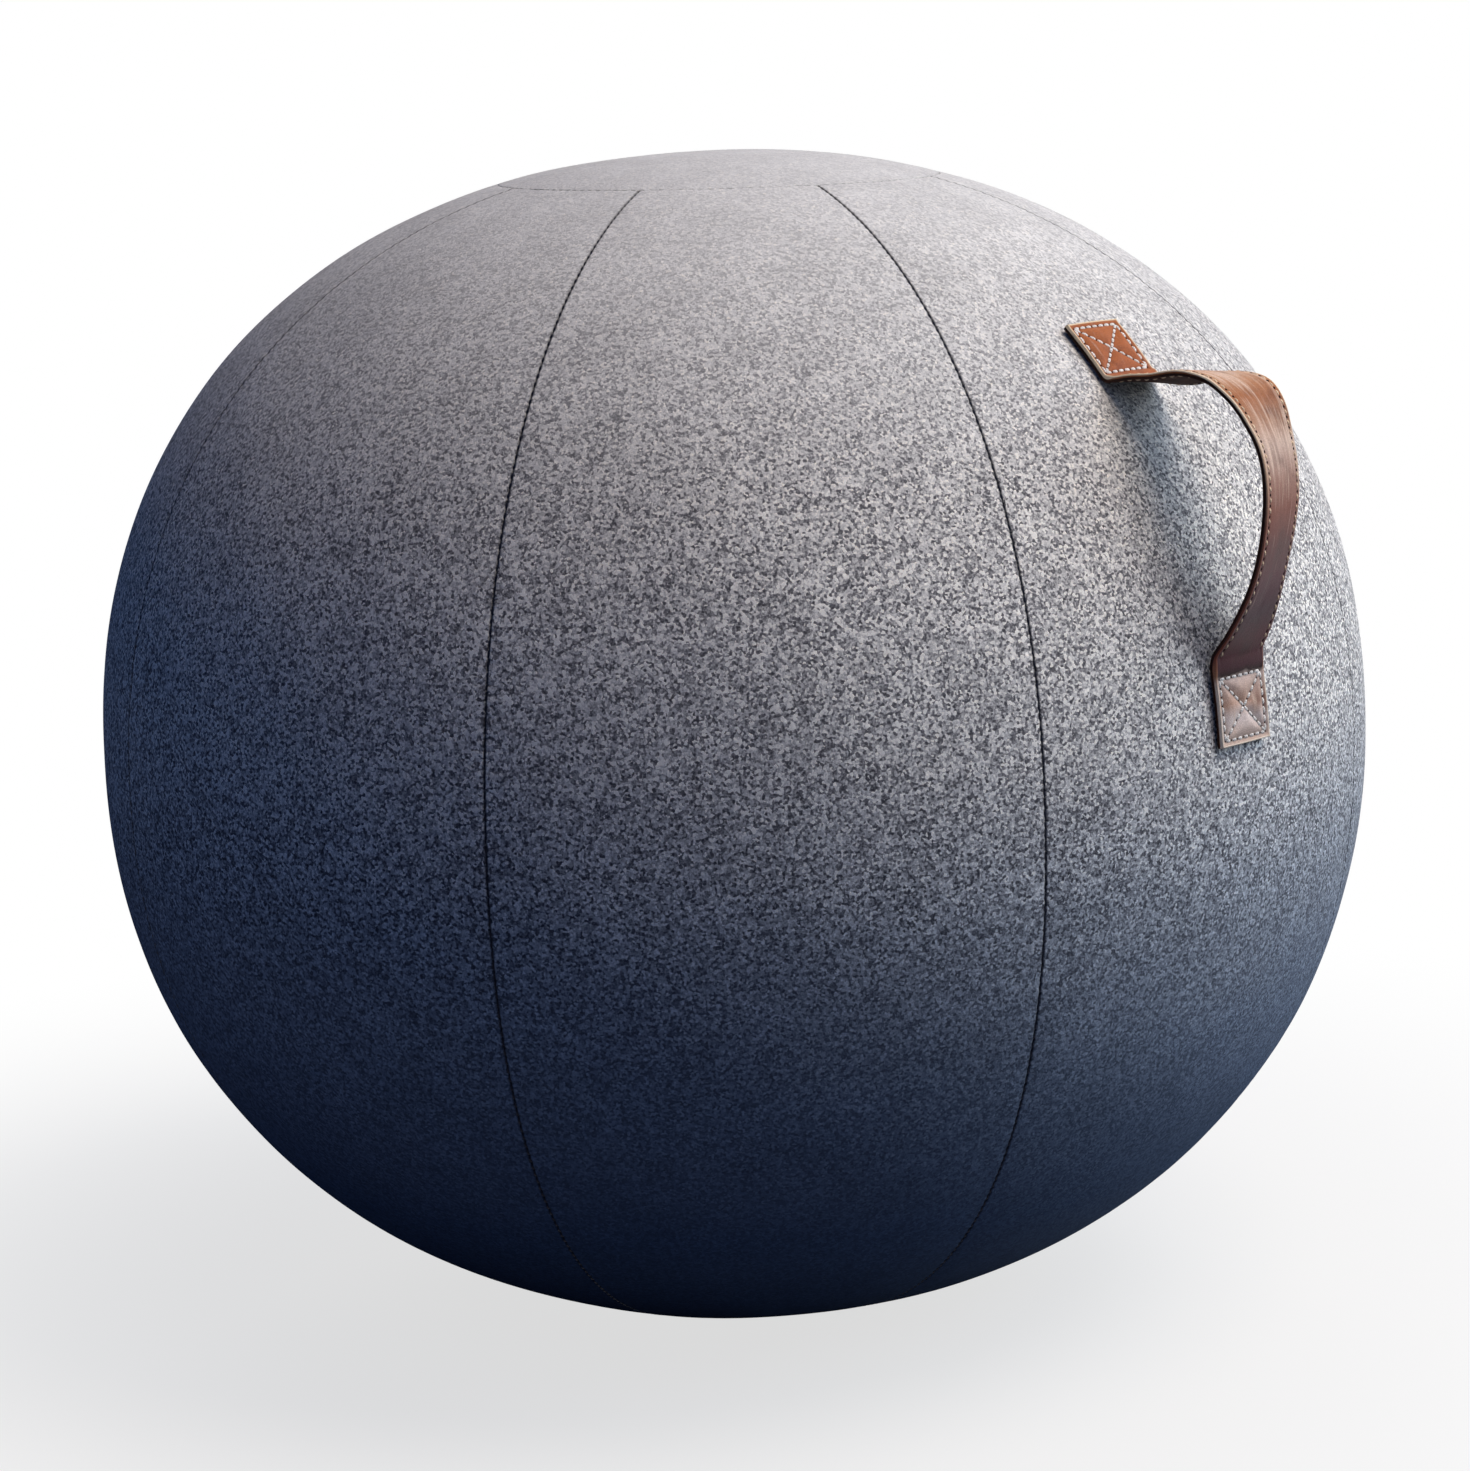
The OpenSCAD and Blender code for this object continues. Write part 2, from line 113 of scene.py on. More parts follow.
def makeObject(name, verts, faces, material=None, smooth=True, recalc=True, attributes=None):
    mesh = bpy.data.meshes.new(name)
    mesh.from_pydata(np.asarray(verts, float).tolist(), [], faces)
    for key, values in (attributes or {}).items():
        layer = mesh.attributes.new(key, "FLOAT", "POINT")
        layer.data.foreach_set("value", np.asarray(values, np.float32))
    if recalc:
        bm = bmesh.new()
        bm.from_mesh(mesh)
        bmesh.ops.recalc_face_normals(bm, faces=bm.faces)
        bm.to_mesh(mesh)
        bm.free()
    mesh.polygons.foreach_set("use_smooth", [smooth] * len(mesh.polygons))
    if material:
        mesh.materials.append(material)
    obj = bpy.data.objects.new(name, mesh)
    bpy.context.scene.collection.objects.link(obj)
    return obj


def gridFaces(rows, cols, start=0, wrap=False, flip=False):
    index = start + np.arange(rows * cols).reshape(rows, cols)
    if wrap:
        index = np.concatenate([index, index[:, :1]], axis=1)
    a, b, c, d = index[:-1, :-1], index[1:, :-1], index[1:, 1:], index[:-1, 1:]
    quads = np.stack([a, d, c, b] if flip else [a, b, c, d], axis=-1).reshape(-1, 4)
    return quads.tolist()


def shellFaces(rows, cols, flip=False):
    # two grids of points, one behind the other, closed along their four sides
    count = rows * cols
    faces = gridFaces(rows, cols, flip=flip) + gridFaces(rows, cols, count, flip=not flip)
    front = np.arange(count).reshape(rows, cols)
    back = front + count
    sides = (front[:, 0], back[:, 0]), (back[:, -1], front[:, -1]), (back[0], front[0]), (front[-1], back[-1])
    for a, b in sides:
        faces += np.stack([a[:-1], a[1:], b[1:], b[:-1]], axis=-1).tolist()
    return faces


def settle(obj, body, nodes=()):
    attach(obj, body)
    if nodes:
        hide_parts(*nodes)
    return obj


def meridianTable():
    # the ball's outline from the top to the middle of the foot:
    # distance along it, radius, height and outward direction
    t = np.radians(np.linspace(90, 0, 4000))
    power = 2 / ballShape["crownPower"]
    upR, upZ = halfWidth * np.cos(t) ** power, midHeight + halfHeight * np.sin(t) ** power
    t = np.radians(np.linspace(0, 90, 4000))[1:]
    power = 2 / ballShape["bellyPower"]
    lowR = halfWidth * np.clip(np.cos(t), 0, 1) ** power
    lowZ = midHeight - halfHeight * np.sin(t) ** power
    k = ballShape["footRounding"]
    lowZ = np.where(lowZ > k, lowZ, np.where(lowZ < -k, 0, (lowZ + k) ** 2 / (4 * k)))
    r, z = np.concatenate([upR, lowR]), np.concatenate([upZ, lowZ])
    r[0], r[-1] = 0, 0
    s = np.concatenate([[0], np.cumsum(np.hypot(np.diff(r), np.diff(z)))])
    even = np.linspace(0, s[-1], 6000)
    r, z = np.interp(even, s, r), np.interp(even, s, z)
    dr, dz = np.gradient(r), np.gradient(z)
    length = np.hypot(dr, dz)
    return even, r, z, -dz / length, dr / length


lineS, lineR, lineZ, lineNr, lineNz = meridianTable()
widest = int(np.argmax(lineR))


def sAtTop(r):
    return np.interp(r, lineR[:widest], lineS[:widest])


def sAtBase(r):
    return np.interp(-r, -lineR[widest:], lineS[widest:])


def onBall(s, theta, depth):
    # a point at a distance along the outline, an angle round the ball and a depth under its face
    r = np.interp(s, lineS, lineR) - depth * np.interp(s, lineS, lineNr)
    z = np.interp(s, lineS, lineZ) - depth * np.interp(s, lineS, lineNz)
    return np.stack([r * np.cos(theta), r * np.sin(theta), z + 0 * theta], axis=-1)


felt = {
    "thickness": 3.0 * mm,
    "seamGap": 0.06 * mm,      # between two gores at the bottom of a seam
    "roll": 1.0 * mm,          # radius at which the felt rolls into a seam
    "dip": 0.35 * mm,          # how far the surface sinks towards a seam
    "dipWidth": 10 * mm,
    "puckerPitch": 4.8 * mm,   # one stitch of the seam
    "pucker": 0.2 * mm, "puckerWidth": 3.2 * mm,
    "wrinkle": 0.12 * mm, "wrinkleWidth": 12 * mm, "wrinkleStart": 1.5 * mm,
    "wrinkleWaves": ((1, 11.3 * mm), (2, 17.9 * mm), (3, 29.7 * mm), (5, 41 * mm)),  # phase and length of each
    "roundSeam": 0.35 * mm,    # how much shallower the round seams are
    "faintSeam": 0.3 * mm,     # and how much less shade they hold
    "unevenness": 0.35 * mm, "calmWidth": 20 * mm,  # of the slow waves, and how far from a seam they fade
    "waves": 14, "waveLengths": (60, 220),          # of which each is so many millimetres long
    "inset": 0.3 * mm,         # of the face under the plain outline
    "backInset": 0.1 * mm,     # and of the inside
    "turnIn": 9 * mm, "turnInStep": 0.6 * mm,       # width of the felt turned in behind a seam
    "rowStep": 1.2 * mm,
    "zipEdge": 5.3 * mm,       # from the middle of the zip to the base panel's edge
    "goreEdge": 6.6 * mm,      # and to the edge of the gores
    "foldRadius": 1.4 * mm, "foldDrop": 0.25 * mm,  # of the felt folded in along the zip
    "zipRow": 4.5 * mm,        # of the topstitching from that fold
    "grooveDepth": 0.35 * mm, "grooveWidth": 0.9 * mm,
    "zipTilt": math.radians(16.08),
    "zipStart": math.radians(67.5),
    "zipArc": math.radians(225),
    "seed": 7,
}
edgeSteps = np.array([0, 0.25, 0.5, 0.8, 1.2, 1.7, 2.4, 3.4, 5, 7.5, 11, 16, 23, 32]) * mm
rng = np.random.default_rng(felt["seed"])
waves = [(rng.normal(size=3), rng.uniform(0, 2 * math.pi), rng.uniform(*felt["waveLengths"]) * mm)
         for _ in range(felt["waves"])]


def unevenness(points):
    total = np.zeros(points.shape[:-1])
    for direction, phase, length in waves:
        direction = direction / np.linalg.norm(direction)
        total += np.sin(points @ direction * 2 * math.pi / length + phase)
    return total / math.sqrt(len(waves)) * felt["unevenness"]


def nearest(*distances):
    # the smallest distance, rounded where two seams meet
    least = 0.02 * mm
    total = sum(np.maximum(d, least) ** -4.0 for d in distances)
    return total ** -0.25 - least * 0.8


def quarterRoll(distance, radius):
    # how far a face has sunk at a distance from its rolled edge
    inside = np.clip(1 - distance / radius, 0, 1)
    return radius * (1 - np.sqrt(np.maximum(1 - inside ** 2, 0)))


def seamDepth(distance, along, phase):
    # the quarter roll into the seam, the broad dip beside it, and the pull of each stitch
    depth = quarterRoll(distance, felt["roll"])
    depth += felt["dip"] * np.exp(-distance / felt["dipWidth"])
    pull = np.cos(2 * math.pi * along / felt["puckerPitch"] + phase)
    depth += felt["pucker"] * pull * np.exp(-(distance / felt["puckerWidth"]) ** 2)
    crease = sum(np.sin(2 * math.pi * along / length + phase * k + k) for k, length in felt["wrinkleWaves"])
    depth += (felt["wrinkle"] * crease / 2 * np.exp(-distance / felt["wrinkleWidth"])
              * (1 - np.exp(-distance / felt["wrinkleStart"])))
    return depth


def zipFold(distance):
    # the fold along the zip, and the groove that its topstitching draws into the felt
    groove = felt["grooveDepth"] * np.exp(-((distance - felt["zipRow"]) / felt["grooveWidth"]) ** 2)
    return quarterRoll(distance, felt["foldRadius"]) + felt["foldDrop"], groove


def calmWaves(flat, distance):
    return unevenness(flat) * (1 - np.exp(-distance / felt["calmWidth"]))


def rowPlaces(start, end, step):
    # rows of points that stand closer together near both ends
    near = edgeSteps[:9]
    inner = np.linspace(start + near[-1], end - near[-1], int((end - start - 2 * near[-1]) / step) + 1)
    return np.concatenate([start + near[:-1], inner, (end - near[:-1])[::-1]])


def goreObject(number):
    zipped = 2.5 < number < 7.5
    centre = (number - 1) * goreAngle
    gap = felt["seamGap"] / 2
    sTop = sAtTop(ballShape["panelRadius"] + gap)
    reach = felt["goreEdge"] * math.cos(felt["zipTilt"])
    sEnd = sAtBase(ballShape["panelRadius"] + (reach if zipped else gap))
    s = rowPlaces(sTop, sEnd, felt["rowStep"])
    half = np.interp(s, lineS, lineR) * goreAngle / 2 - gap
    beside = edgeSteps[:-1]
    middle = np.linspace(-1, 1, 15)
    offset = np.concatenate([
        -half[:, None] + beside[None, :],
        (half - edgeSteps[-1])[:, None] * middle[None, :],
        (half[:, None] - beside[None, :])[:, ::-1]], axis=1)
    rows, cols = offset.shape
    sGrid = np.repeat(s[:, None], cols, axis=1)
    radius = np.interp(sGrid, lineS, lineR)
    theta = centre + offset / radius
    side = half[:, None] - np.abs(offset)
    top, base = sGrid - sTop + felt["roundSeam"], sEnd - sGrid
    seam = nearest(side, top) if zipped else nearest(side, top, base)
    sideIsNear = side < np.minimum(top, base)
    along = np.where(sideIsNear, sGrid, theta * radius)
    phase = np.where(sideIsNear, np.where(offset > 0, number, number - 1) * 1.7, 0.6)
    depth = seamDepth(seam, along, phase)
    if zipped:
        fold, groove = zipFold(base)
        depth = np.maximum(depth, fold) + groove
    flat = onBall(sGrid, theta, 0)
    depth = depth - calmWaves(flat, seam) + felt["inset"]
    if number == 1:
        depth += padPress(flat)
    outer = onBall(sGrid, theta, depth)
    # the inside is plain, with fewer points and with the felt turned in along its seams
    cornerCols = np.array([0, 6, 9, 11])
    pickRows = np.unique(np.concatenate([np.arange(0, rows, 9), [1, 5, 8, rows - 9, rows - 6, rows - 2, rows - 1]]))
    pickCols = np.unique(np.concatenate([cornerCols, np.arange(13, cols - 13, 3), cols - 1 - cornerCols]))
    picks = np.ix_(pickRows, pickCols)
    turnedIn = 1 / (1 + np.exp((seam[picks] - felt["turnIn"]) / felt["turnInStep"]))
    inner = onBall(sGrid[picks], theta[picks], felt["thickness"] * (1 + turnedIn) + felt["backInset"])
    verts = np.concatenate([outer.reshape(-1, 3), inner.reshape(-1, 3)])
    outCount, inCount = rows * cols, len(pickRows) * len(pickCols)
    faces = gridFaces(rows, cols) + gridFaces(len(pickRows), len(pickCols), outCount, flip=True)
    outId = np.arange(outCount).reshape(rows, cols)
    inId = outCount + np.arange(inCount).reshape(len(pickRows), len(pickCols))
    for outLine, inLine, places in ((outId[:, 0], inId[:, 0], pickRows), (outId[:, -1], inId[:, -1], pickRows),
                                    (outId[0], inId[0], pickCols), (outId[-1], inId[-1], pickCols)):
        for k in range(len(places) - 1):
            faces.append(outLine[places[k]:places[k + 1] + 1].tolist() + [int(inLine[k + 1]), int(inLine[k])])
    shadeLine = seam + np.where(side < top, 0, felt["faintSeam"])
    seamAll = np.concatenate([shadeLine.ravel(), seam[picks].ravel()])
    return makeObject(f"felt_gore_{number}", verts, faces, feltMaterial, attributes={"seamDistance": seamAll})


def roundPanel(name, atTop, material):
    # a polar grid from the middle out to the seam, with its inside and edge
    segments = 480
    theta = np.arange(segments) * 2 * math.pi / segments
    rim = ballShape["panelRadius"] - felt["seamGap"] / 2
    if atTop:
        edge = np.full(segments, sAtTop(rim))
    else:
        turn = np.mod(theta - felt["zipStart"], 2 * math.pi)
        inArc = np.minimum(turn, felt["zipArc"] - turn) * rim
        zipped = 1 / (1 + np.exp(-(inArc - 1.5 * mm) / (0.7 * mm)))
        cut = ballShape["panelRadius"] - felt["zipEdge"] * math.cos(felt["zipTilt"])
        edge = lineS[-1] - sAtBase(rim * (1 - zipped) + cut * zipped)
    outerRings = edgeSteps[10::-1]
    innerRings = np.linspace(0.02, 1, 34)[:-1]
    steps = np.concatenate([
        innerRings[:, None] * (edge - outerRings[0])[None, :], edge[None, :] - outerRings[:, None]])
    rings = len(steps)
    sGrid = steps if atTop else lineS[-1] - steps
    angle = np.repeat(theta[None, :], rings, axis=0)
    distance = edge[None, :] - steps + (felt["roundSeam"] if atTop else 0)
    depth = seamDepth(distance, angle * rim, 0.6)
    flat = onBall(sGrid, angle, 0)
    rough = calmWaves(flat, distance)
    if atTop:
        depth = depth - rough + felt["inset"]
    else:
        fold, groove = zipFold(distance)
        depth = depth * (1 - zipped) + (fold + groove) * zipped
        depth = depth + 0.05 * mm + np.abs(rough) * np.clip(flat[..., 2] / (6 * mm), 0, 1)  # flat on the floor
    outer = onBall(sGrid, angle, depth)
    picks = np.arange(0, rings, 6)
    picks[-1] = rings - 1
    backDepth = felt["thickness"] + felt["backInset"]
    back = onBall(sGrid[picks], angle[picks], backDepth)
    middle = np.array([0.0 if atTop else lineS[-1]])
    poles = [onBall(middle, np.zeros(1), below) for below in (0.05 * mm, backDepth)]
    verts = np.concatenate([outer.reshape(-1, 3), back.reshape(-1, 3), *poles])
    outCount, backCount = rings * segments, len(picks) * segments
    pole = outCount + backCount
    lastOut, lastBack = outCount - segments, pole - segments
    faces = gridFaces(rings, segments, 0, wrap=True, flip=not atTop)
    faces += gridFaces(len(picks), segments, outCount, wrap=True, flip=atTop)
    for k in range(segments):
        nextK = (k + 1) % segments
        faces.append([k, nextK, pole])
        faces.append([outCount + k, outCount + nextK, pole + 1])
        faces.append([lastOut + k, lastOut + nextK, lastBack + nextK, lastBack + k])
    shadeLine = distance.ravel() + (felt["faintSeam"] if atTop else 0)
    seam = np.concatenate([shadeLine, np.full(backCount, 0.02), [0.1, 0.1]])
    return makeObject(name, verts, faces, material, attributes={"seamDistance": seam})


handle = {
    "turn": math.radians(-1.4),  # round the ball, off the middle of its gore
    "width": 37 * mm,
    "liningThickness": 1.1 * mm,
    "strapThickness": 1.5 * mm,
    "glue": 0.05 * mm,
    "headHeight": 192.7 * mm, "heelHeight": 69.9 * mm,   # of the upper and the lower fold above the widest line
    "headPad": 34.9 * mm, "heelPad": 39.3 * mm,          # length of the sewn ends
    "headPull": 94.2 * mm, "heelPull": 100.4 * mm,       # how strongly the arch runs on from its folds
    "headRise": 13.1, "heelRise": 56.7,                  # degrees at which the arch leaves its folds
    "headFold": 7 * mm, "heelFold": 15 * mm,             # radius of the folds
    "lift": 0.3 * mm,                                    # of the sewn ends above the plain outline
    "shiftPlaces": (0, 0.05, 0.13, 0.22, 0.32, 0.45, 0.65, 1),  # shares of the arch, from its upper end
    "shift": (0, -1.7, -3.3, -0.2, 0.8, -4.9, -4.5, 0),  # millimetres off the plain arch
    "twistPlaces": (0, 0.03, 0.08, 0.15, 0.22, 0.28, 0.34, 0.48, 0.63, 0.78, 0.92, 1),
    "twist": (0, 5, 9, 9, 6, 1.5, -2.4, 10.8, 12.9, 12.9, 4.5, 0),  # degrees
    "wander": 0.25 * mm,                                 # of the sewing, from side to side
    "borderInset": 3.0 * mm,                             # of the sewn ends' border from the strap's edge
    "headBorder": 5.0 * mm, "heelBorder": 8.0 * mm,      # and from the folds
    "rowInset": 3.0 * mm,
    "puff": 1.3 * mm, "puffWidth": 3.0 * mm,             # how far the sewn ends swell between their sewing
    "stitchDip": 0.35 * mm,                              # and how far the sewing sinks
    "liningInset": 0.15 * mm,
    "press": 0.7 * mm, "pressWidth": 5 * mm,             # how far the sewn ends press the felt in
    "crown": 0.25 * mm, "groove": 0.3 * mm, "grooveWidth": 0.8 * mm,
    "outerEdge": 0.7 * mm, "innerEdge": 0.5 * mm,        # radius of the leathers' edges
}
strapThickness = handle["liningThickness"] + handle["glue"] + handle["strapThickness"]


def crownAngle(z):
    return math.degrees(math.asin((z / halfHeight) ** (ballShape["crownPower"] / 2)))


def crownPoint(t):
    # a point of the strap's inner face on the crown, t degrees above the widest line
    t, power = math.radians(t), 2 / ballShape["crownPower"]
    across, up = halfWidth + handle["lift"], halfHeight + handle["lift"]
    return np.array([across * math.cos(t) ** power, midHeight + up * math.sin(t) ** power])


def towards(degrees):
    return np.array([math.cos(math.radians(degrees)), math.sin(math.radians(degrees))])


def headingAt(t):
    a, b = crownPoint(t + 0.5), crownPoint(t - 0.5)
    return math.degrees(math.atan2(b[1] - a[1], b[0] - a[0]))


def degreesFor(t, length):
    return length / np.linalg.norm(crownPoint(t + 0.5) - crownPoint(t - 0.5))


def strapLine(h):
    # the inner face's line from the upper end to the lower: sewn end, fold, arch, fold, sewn end
    headT, heelT = crownAngle(h["headHeight"]), crownAngle(h["heelHeight"])
    headIn, heelOut, heelIn = headingAt(headT), headingAt(heelT), h["heelRise"] - 180
    headBack = h["headFold"] * math.tan(math.radians((h["headRise"] - headIn) / 2))
    heelBack = h["heelFold"] * math.tan(math.radians((heelOut - heelIn) / 2))
    headCorner, heelCorner = crownPoint(headT), crownPoint(heelT)

    def fold(corner, a, b, radius):
        back = radius * math.tan(math.radians((b - a) / 2))
        centre = corner - back * towards(a) + radius * towards(a + 90)
        return [centre + radius * towards(a - 90 + (b - a) * i / 12) for i in range(13)]

    top = [crownPoint(t) for t in np.linspace(
        headT + degreesFor(headT, h["headPad"]), headT + degreesFor(headT, headBack) + 0.2, 20)]
    headFold = fold(headCorner, headIn, h["headRise"], h["headFold"])
    p, q = headCorner + headBack * towards(h["headRise"]), heelCorner + heelBack * towards(h["heelRise"])
    u = p + (h["headPull"] - headBack) * towards(h["headRise"])
    v = q + (h["heelPull"] - heelBack) * towards(h["heelRise"])
    arch = [(1 - k) ** 3 * p + 3 * (1 - k) ** 2 * k * u + 3 * (1 - k) * k * k * v + k ** 3 * q
            for k in np.linspace(0, 1, 100)[1:-1]]
    heelFold = fold(heelCorner, heelIn, heelOut, h["heelFold"])
    low = [crownPoint(t) for t in np.linspace(
        heelT - degreesFor(heelT, heelBack) - 0.2, heelT - degreesFor(heelT, h["heelPad"]), 20)]
    start = len(top) + len(headFold)
    return np.array(top + headFold + arch + heelFold + low), start, start + len(arch)


def smoothThrough(places, values, x):
    # a smooth curve through a few values, level at both ends
    places, values = np.asarray(places, float), np.asarray(values, float)
    slope = np.zeros(len(values))
    slope[1:-1] = (values[2:] - values[:-2]) / (places[2:] - places[:-2])
    i = np.clip(np.searchsorted(places, x) - 1, 0, len(places) - 2)
    step = places[i + 1] - places[i]
    t = (x - places[i]) / step
    return ((2 * t ** 3 - 3 * t ** 2 + 1) * values[i] + (t ** 3 - 2 * t ** 2 + t) * step * slope[i]
            + (3 * t ** 2 - 2 * t ** 3) * values[i + 1] + (t ** 3 - t ** 2) * step * slope[i + 1])


def leftNormal(points):
    tangent = np.gradient(points, axis=0)
    tangent /= np.linalg.norm(tangent, axis=1)[:, None]
    return np.stack([-tangent[:, 1], tangent[:, 0]], axis=1)


def strapRibbon(h):
    points, start, end = strapLine(h)
    s = np.concatenate([[0], np.cumsum(np.linalg.norm(np.diff(points, axis=0), axis=1))])
    share = np.clip((s - s[start - 10]) / (s[end + 6] - s[start - 10]), 0, 1)
    points = points + leftNormal(points) * (smoothThrough(h["shiftPlaces"], h["shift"], share) * mm)[:, None]
    twist = np.radians(smoothThrough(h["twistPlaces"], h["twist"], share))
    s = np.concatenate([[0], np.cumsum(np.linalg.norm(np.diff(points, axis=0), axis=1))])
    place = np.linspace(0, s[-1], int(s[-1] / (1.0 * mm)) + 1)
    line = np.stack([np.interp(place, s, points[:, 0]), np.interp(place, s, points[:, 1])], axis=1)
    return place, line, leftNormal(line), np.interp(place, s, twist)


strapPlace, strapMid, strapNormal, strapTwist = strapRibbon(handle)
strapLength = strapPlace[-1]
print("strap length", round(strapLength / mm, 1), "mm")


def strapSurface(place, y, height):
    # a point of the strap: its distance along, across and above its inner face
    x, z = np.interp(place, strapPlace, strapMid[:, 0]), np.interp(place, strapPlace, strapMid[:, 1])
    nx, nz = np.interp(place, strapPlace, strapNormal[:, 0]), np.interp(place, strapPlace, strapNormal[:, 1])
    twist = np.interp(place, strapPlace, strapTwist)
    sewn = (np.clip(1 - (place - handle["headPad"]) / (12 * mm), 0, 1)
            + np.clip(1 - (strapLength - handle["heelPad"] - place) / (16 * mm), 0, 1))
    rise = height - strapThickness / 2
    across = y * np.cos(twist) + rise * np.sin(twist)
    out = -y * np.sin(twist) + strapThickness / 2 + rise * np.cos(twist) - sewn * y ** 2 * nx / (2 * x)
    px, pz = x + nx * out, z + nz * out
    cosine, sine = math.cos(handle["turn"]), math.sin(handle["turn"])
    return np.stack([px * cosine - across * sine, px * sine + across * cosine, pz], axis=-1)


def padPress(points):
    # the sewn ends press the felt in a little
    result = np.zeros(points.shape[:-1])
    headEnd = np.interp(handle["headPad"], strapPlace, strapMid[:, 1])
    heelEnd = np.interp(strapLength - handle["heelPad"], strapPlace, strapMid[:, 1])
    side = points[..., 1] - points[..., 0] * math.tan(handle["turn"])
    for z0, z1 in ((headEnd, strapMid[0, 1]), (strapMid[-1, 1], heelEnd)):
        outside = np.maximum(np.maximum(z0 - points[..., 2], points[..., 2] - z1), 0)
        beside = np.maximum(np.abs(side) - handle["width"] / 2, 0)
        away = np.hypot(outside * 1.3, beside)
        press = handle["press"] * np.exp(-(away / handle["pressWidth"]) ** 2)
        result += np.where(points[..., 0] > 0, press, 0)
    return result


def strapWander(place):
    return handle["wander"] * np.sin(place / (37 * mm) + 1.0)


def padLines(start, end):
    # the sewing of one end of the strap, as pairs of places along and across it: a border, then a cross
    inset, half = handle["borderInset"], handle["width"] / 2
    a, b, w = start + inset, end - handle["headBorder"], half - inset
    if start:
        a, b = start + handle["heelBorder"], end - inset
    border = [((a, -w), (b, -w)), ((b, -w), (b, w)), ((b, w), (a, w)), ((a, w), (a, -w))]
    return border + [((a, -w), (b, w)), ((a, w), (b, -w))]


padSpans = ((0, handle["headPad"]), (strapLength - handle["heelPad"], strapLength))


def padSewing(place, y):
    # distance from the sewing of the nearer pad
    result = np.full(np.broadcast(place, y).shape, 1.0)
    for span in padSpans:
        for (p0, y0), (p1, y1) in padLines(*span):
            length2 = (p1 - p0) ** 2 + (y1 - y0) ** 2
            t = np.clip(((place - p0) * (p1 - p0) + (y - y0) * (y1 - y0)) / length2, 0, 1)
            result = np.minimum(result, np.hypot(place - p0 - t * (p1 - p0), y - y0 - t * (y1 - y0)))
    return result


def bandObject(name, low, high, material, edgeRadius, outerBand):
    # a band of leather between two distances from the strap's line, crowned across its width
    half = handle["width"] / 2 - (0 if outerBand else handle["liningInset"])
    thick = high - low
    near = np.array([0, 0.1, 0.25, 0.45, 0.7, 1.0, 1.4, 1.9, 2.4, 2.9, 3.5, 4.3]) * mm
    middle = np.linspace(-half + 5.2 * mm, half - 5.2 * mm, 27)
    faceY = np.concatenate([-half + near, middle, (half - near)[::-1]])
    ends = near[:5]
    place = np.concatenate([ends, strapPlace[1:-1], strapLength - ends[::-1]])
    p, y = np.meshgrid(place, faceY, indexing="ij")
    fromSide, fromEnd = half - np.abs(y), np.minimum(p, strapLength - p)

    def rounding(distance):
        short = np.maximum(edgeRadius - distance, 0)
        return edgeRadius - np.sqrt(np.maximum(edgeRadius ** 2 - short ** 2, 0))

    drop = np.maximum(rounding(fromSide), rounding(fromEnd))
    rowGroove = np.exp(-((fromSide - handle["rowInset"]) / handle["grooveWidth"]) ** 2)
    onArch = (1 / (1 + np.exp(-(p - handle["headPad"] - 2 * mm) / (1 * mm)))
              / (1 + np.exp((p - strapLength + handle["heelPad"] + 2 * mm) / (1 * mm))))
    sewing = padSewing(p, y)
    puff = (handle["puff"] * (1 - np.exp(-(sewing / handle["puffWidth"]) ** 2)) * (sewing < 0.5)
            - handle["stitchDip"] * np.exp(-(sewing / handle["grooveWidth"]) ** 2))
    if outerBand:
        crown = handle["crown"] * (1 - (y / half) ** 4)
        face = (thick - drop + crown * onArch - handle["groove"] * rowGroove * onArch
                + puff * (1 - onArch) * (1 - drop / edgeRadius))
        back = drop * 0.6
    else:
        face = thick - drop * 0.4
        back = drop + handle["groove"] / 2 * rowGroove * onArch
    back = np.minimum(back, face - 0.02 * mm)
    outer, inner = (strapSurface(p, y + strapWander(p), low + rise).reshape(-1, 3) for rise in (face, back))
    edge = np.minimum(fromSide, fromEnd).ravel()
    values = {"strapPlace": np.tile(p.ravel(), 2), "strapAcross": np.tile(y.ravel(), 2),
              "edgeDistance": np.concatenate([edge, edge * 0]),
              "outerFace": np.repeat([1.0, 0.0], p.size),
              "sewingDistance": np.tile(np.minimum(sewing, 0.05).ravel(), 2)}
    faces = shellFaces(*p.shape, flip=True)
    return makeObject(name, np.concatenate([outer, inner]), faces, material, attributes=values)


zipper = {
    "radius": ballShape["panelRadius"],
    "height": 10.716 * mm,  # of the chain above the floor
    "tilt": felt["zipTilt"], "start": felt["zipStart"], "arc": felt["zipArc"],
    "tapeEdge": 1.75 * mm, "tapeThickness": 0.8 * mm,
    "bead": 0.04 * mm, "beadPlace": 0.7 * mm, "beadWidth": 0.5 * mm,  # swelling along the tape's edge
    "lie": 0.1 * mm,        # how far the tape's free side waves
    "endMargin": 1.0 * mm,
}


def onZip(theta, across, inward):
    # a point from the middle of the chain: across the zip, up the slope, and into the ball
    r = zipper["radius"] + across * math.cos(zipper["tilt"]) - inward * math.sin(zipper["tilt"])
    z = zipper["height"] + across * math.sin(zipper["tilt"]) + inward * math.cos(zipper["tilt"])
    return np.stack([r * np.cos(theta), r * np.sin(theta), z + 0 * theta], axis=-1)


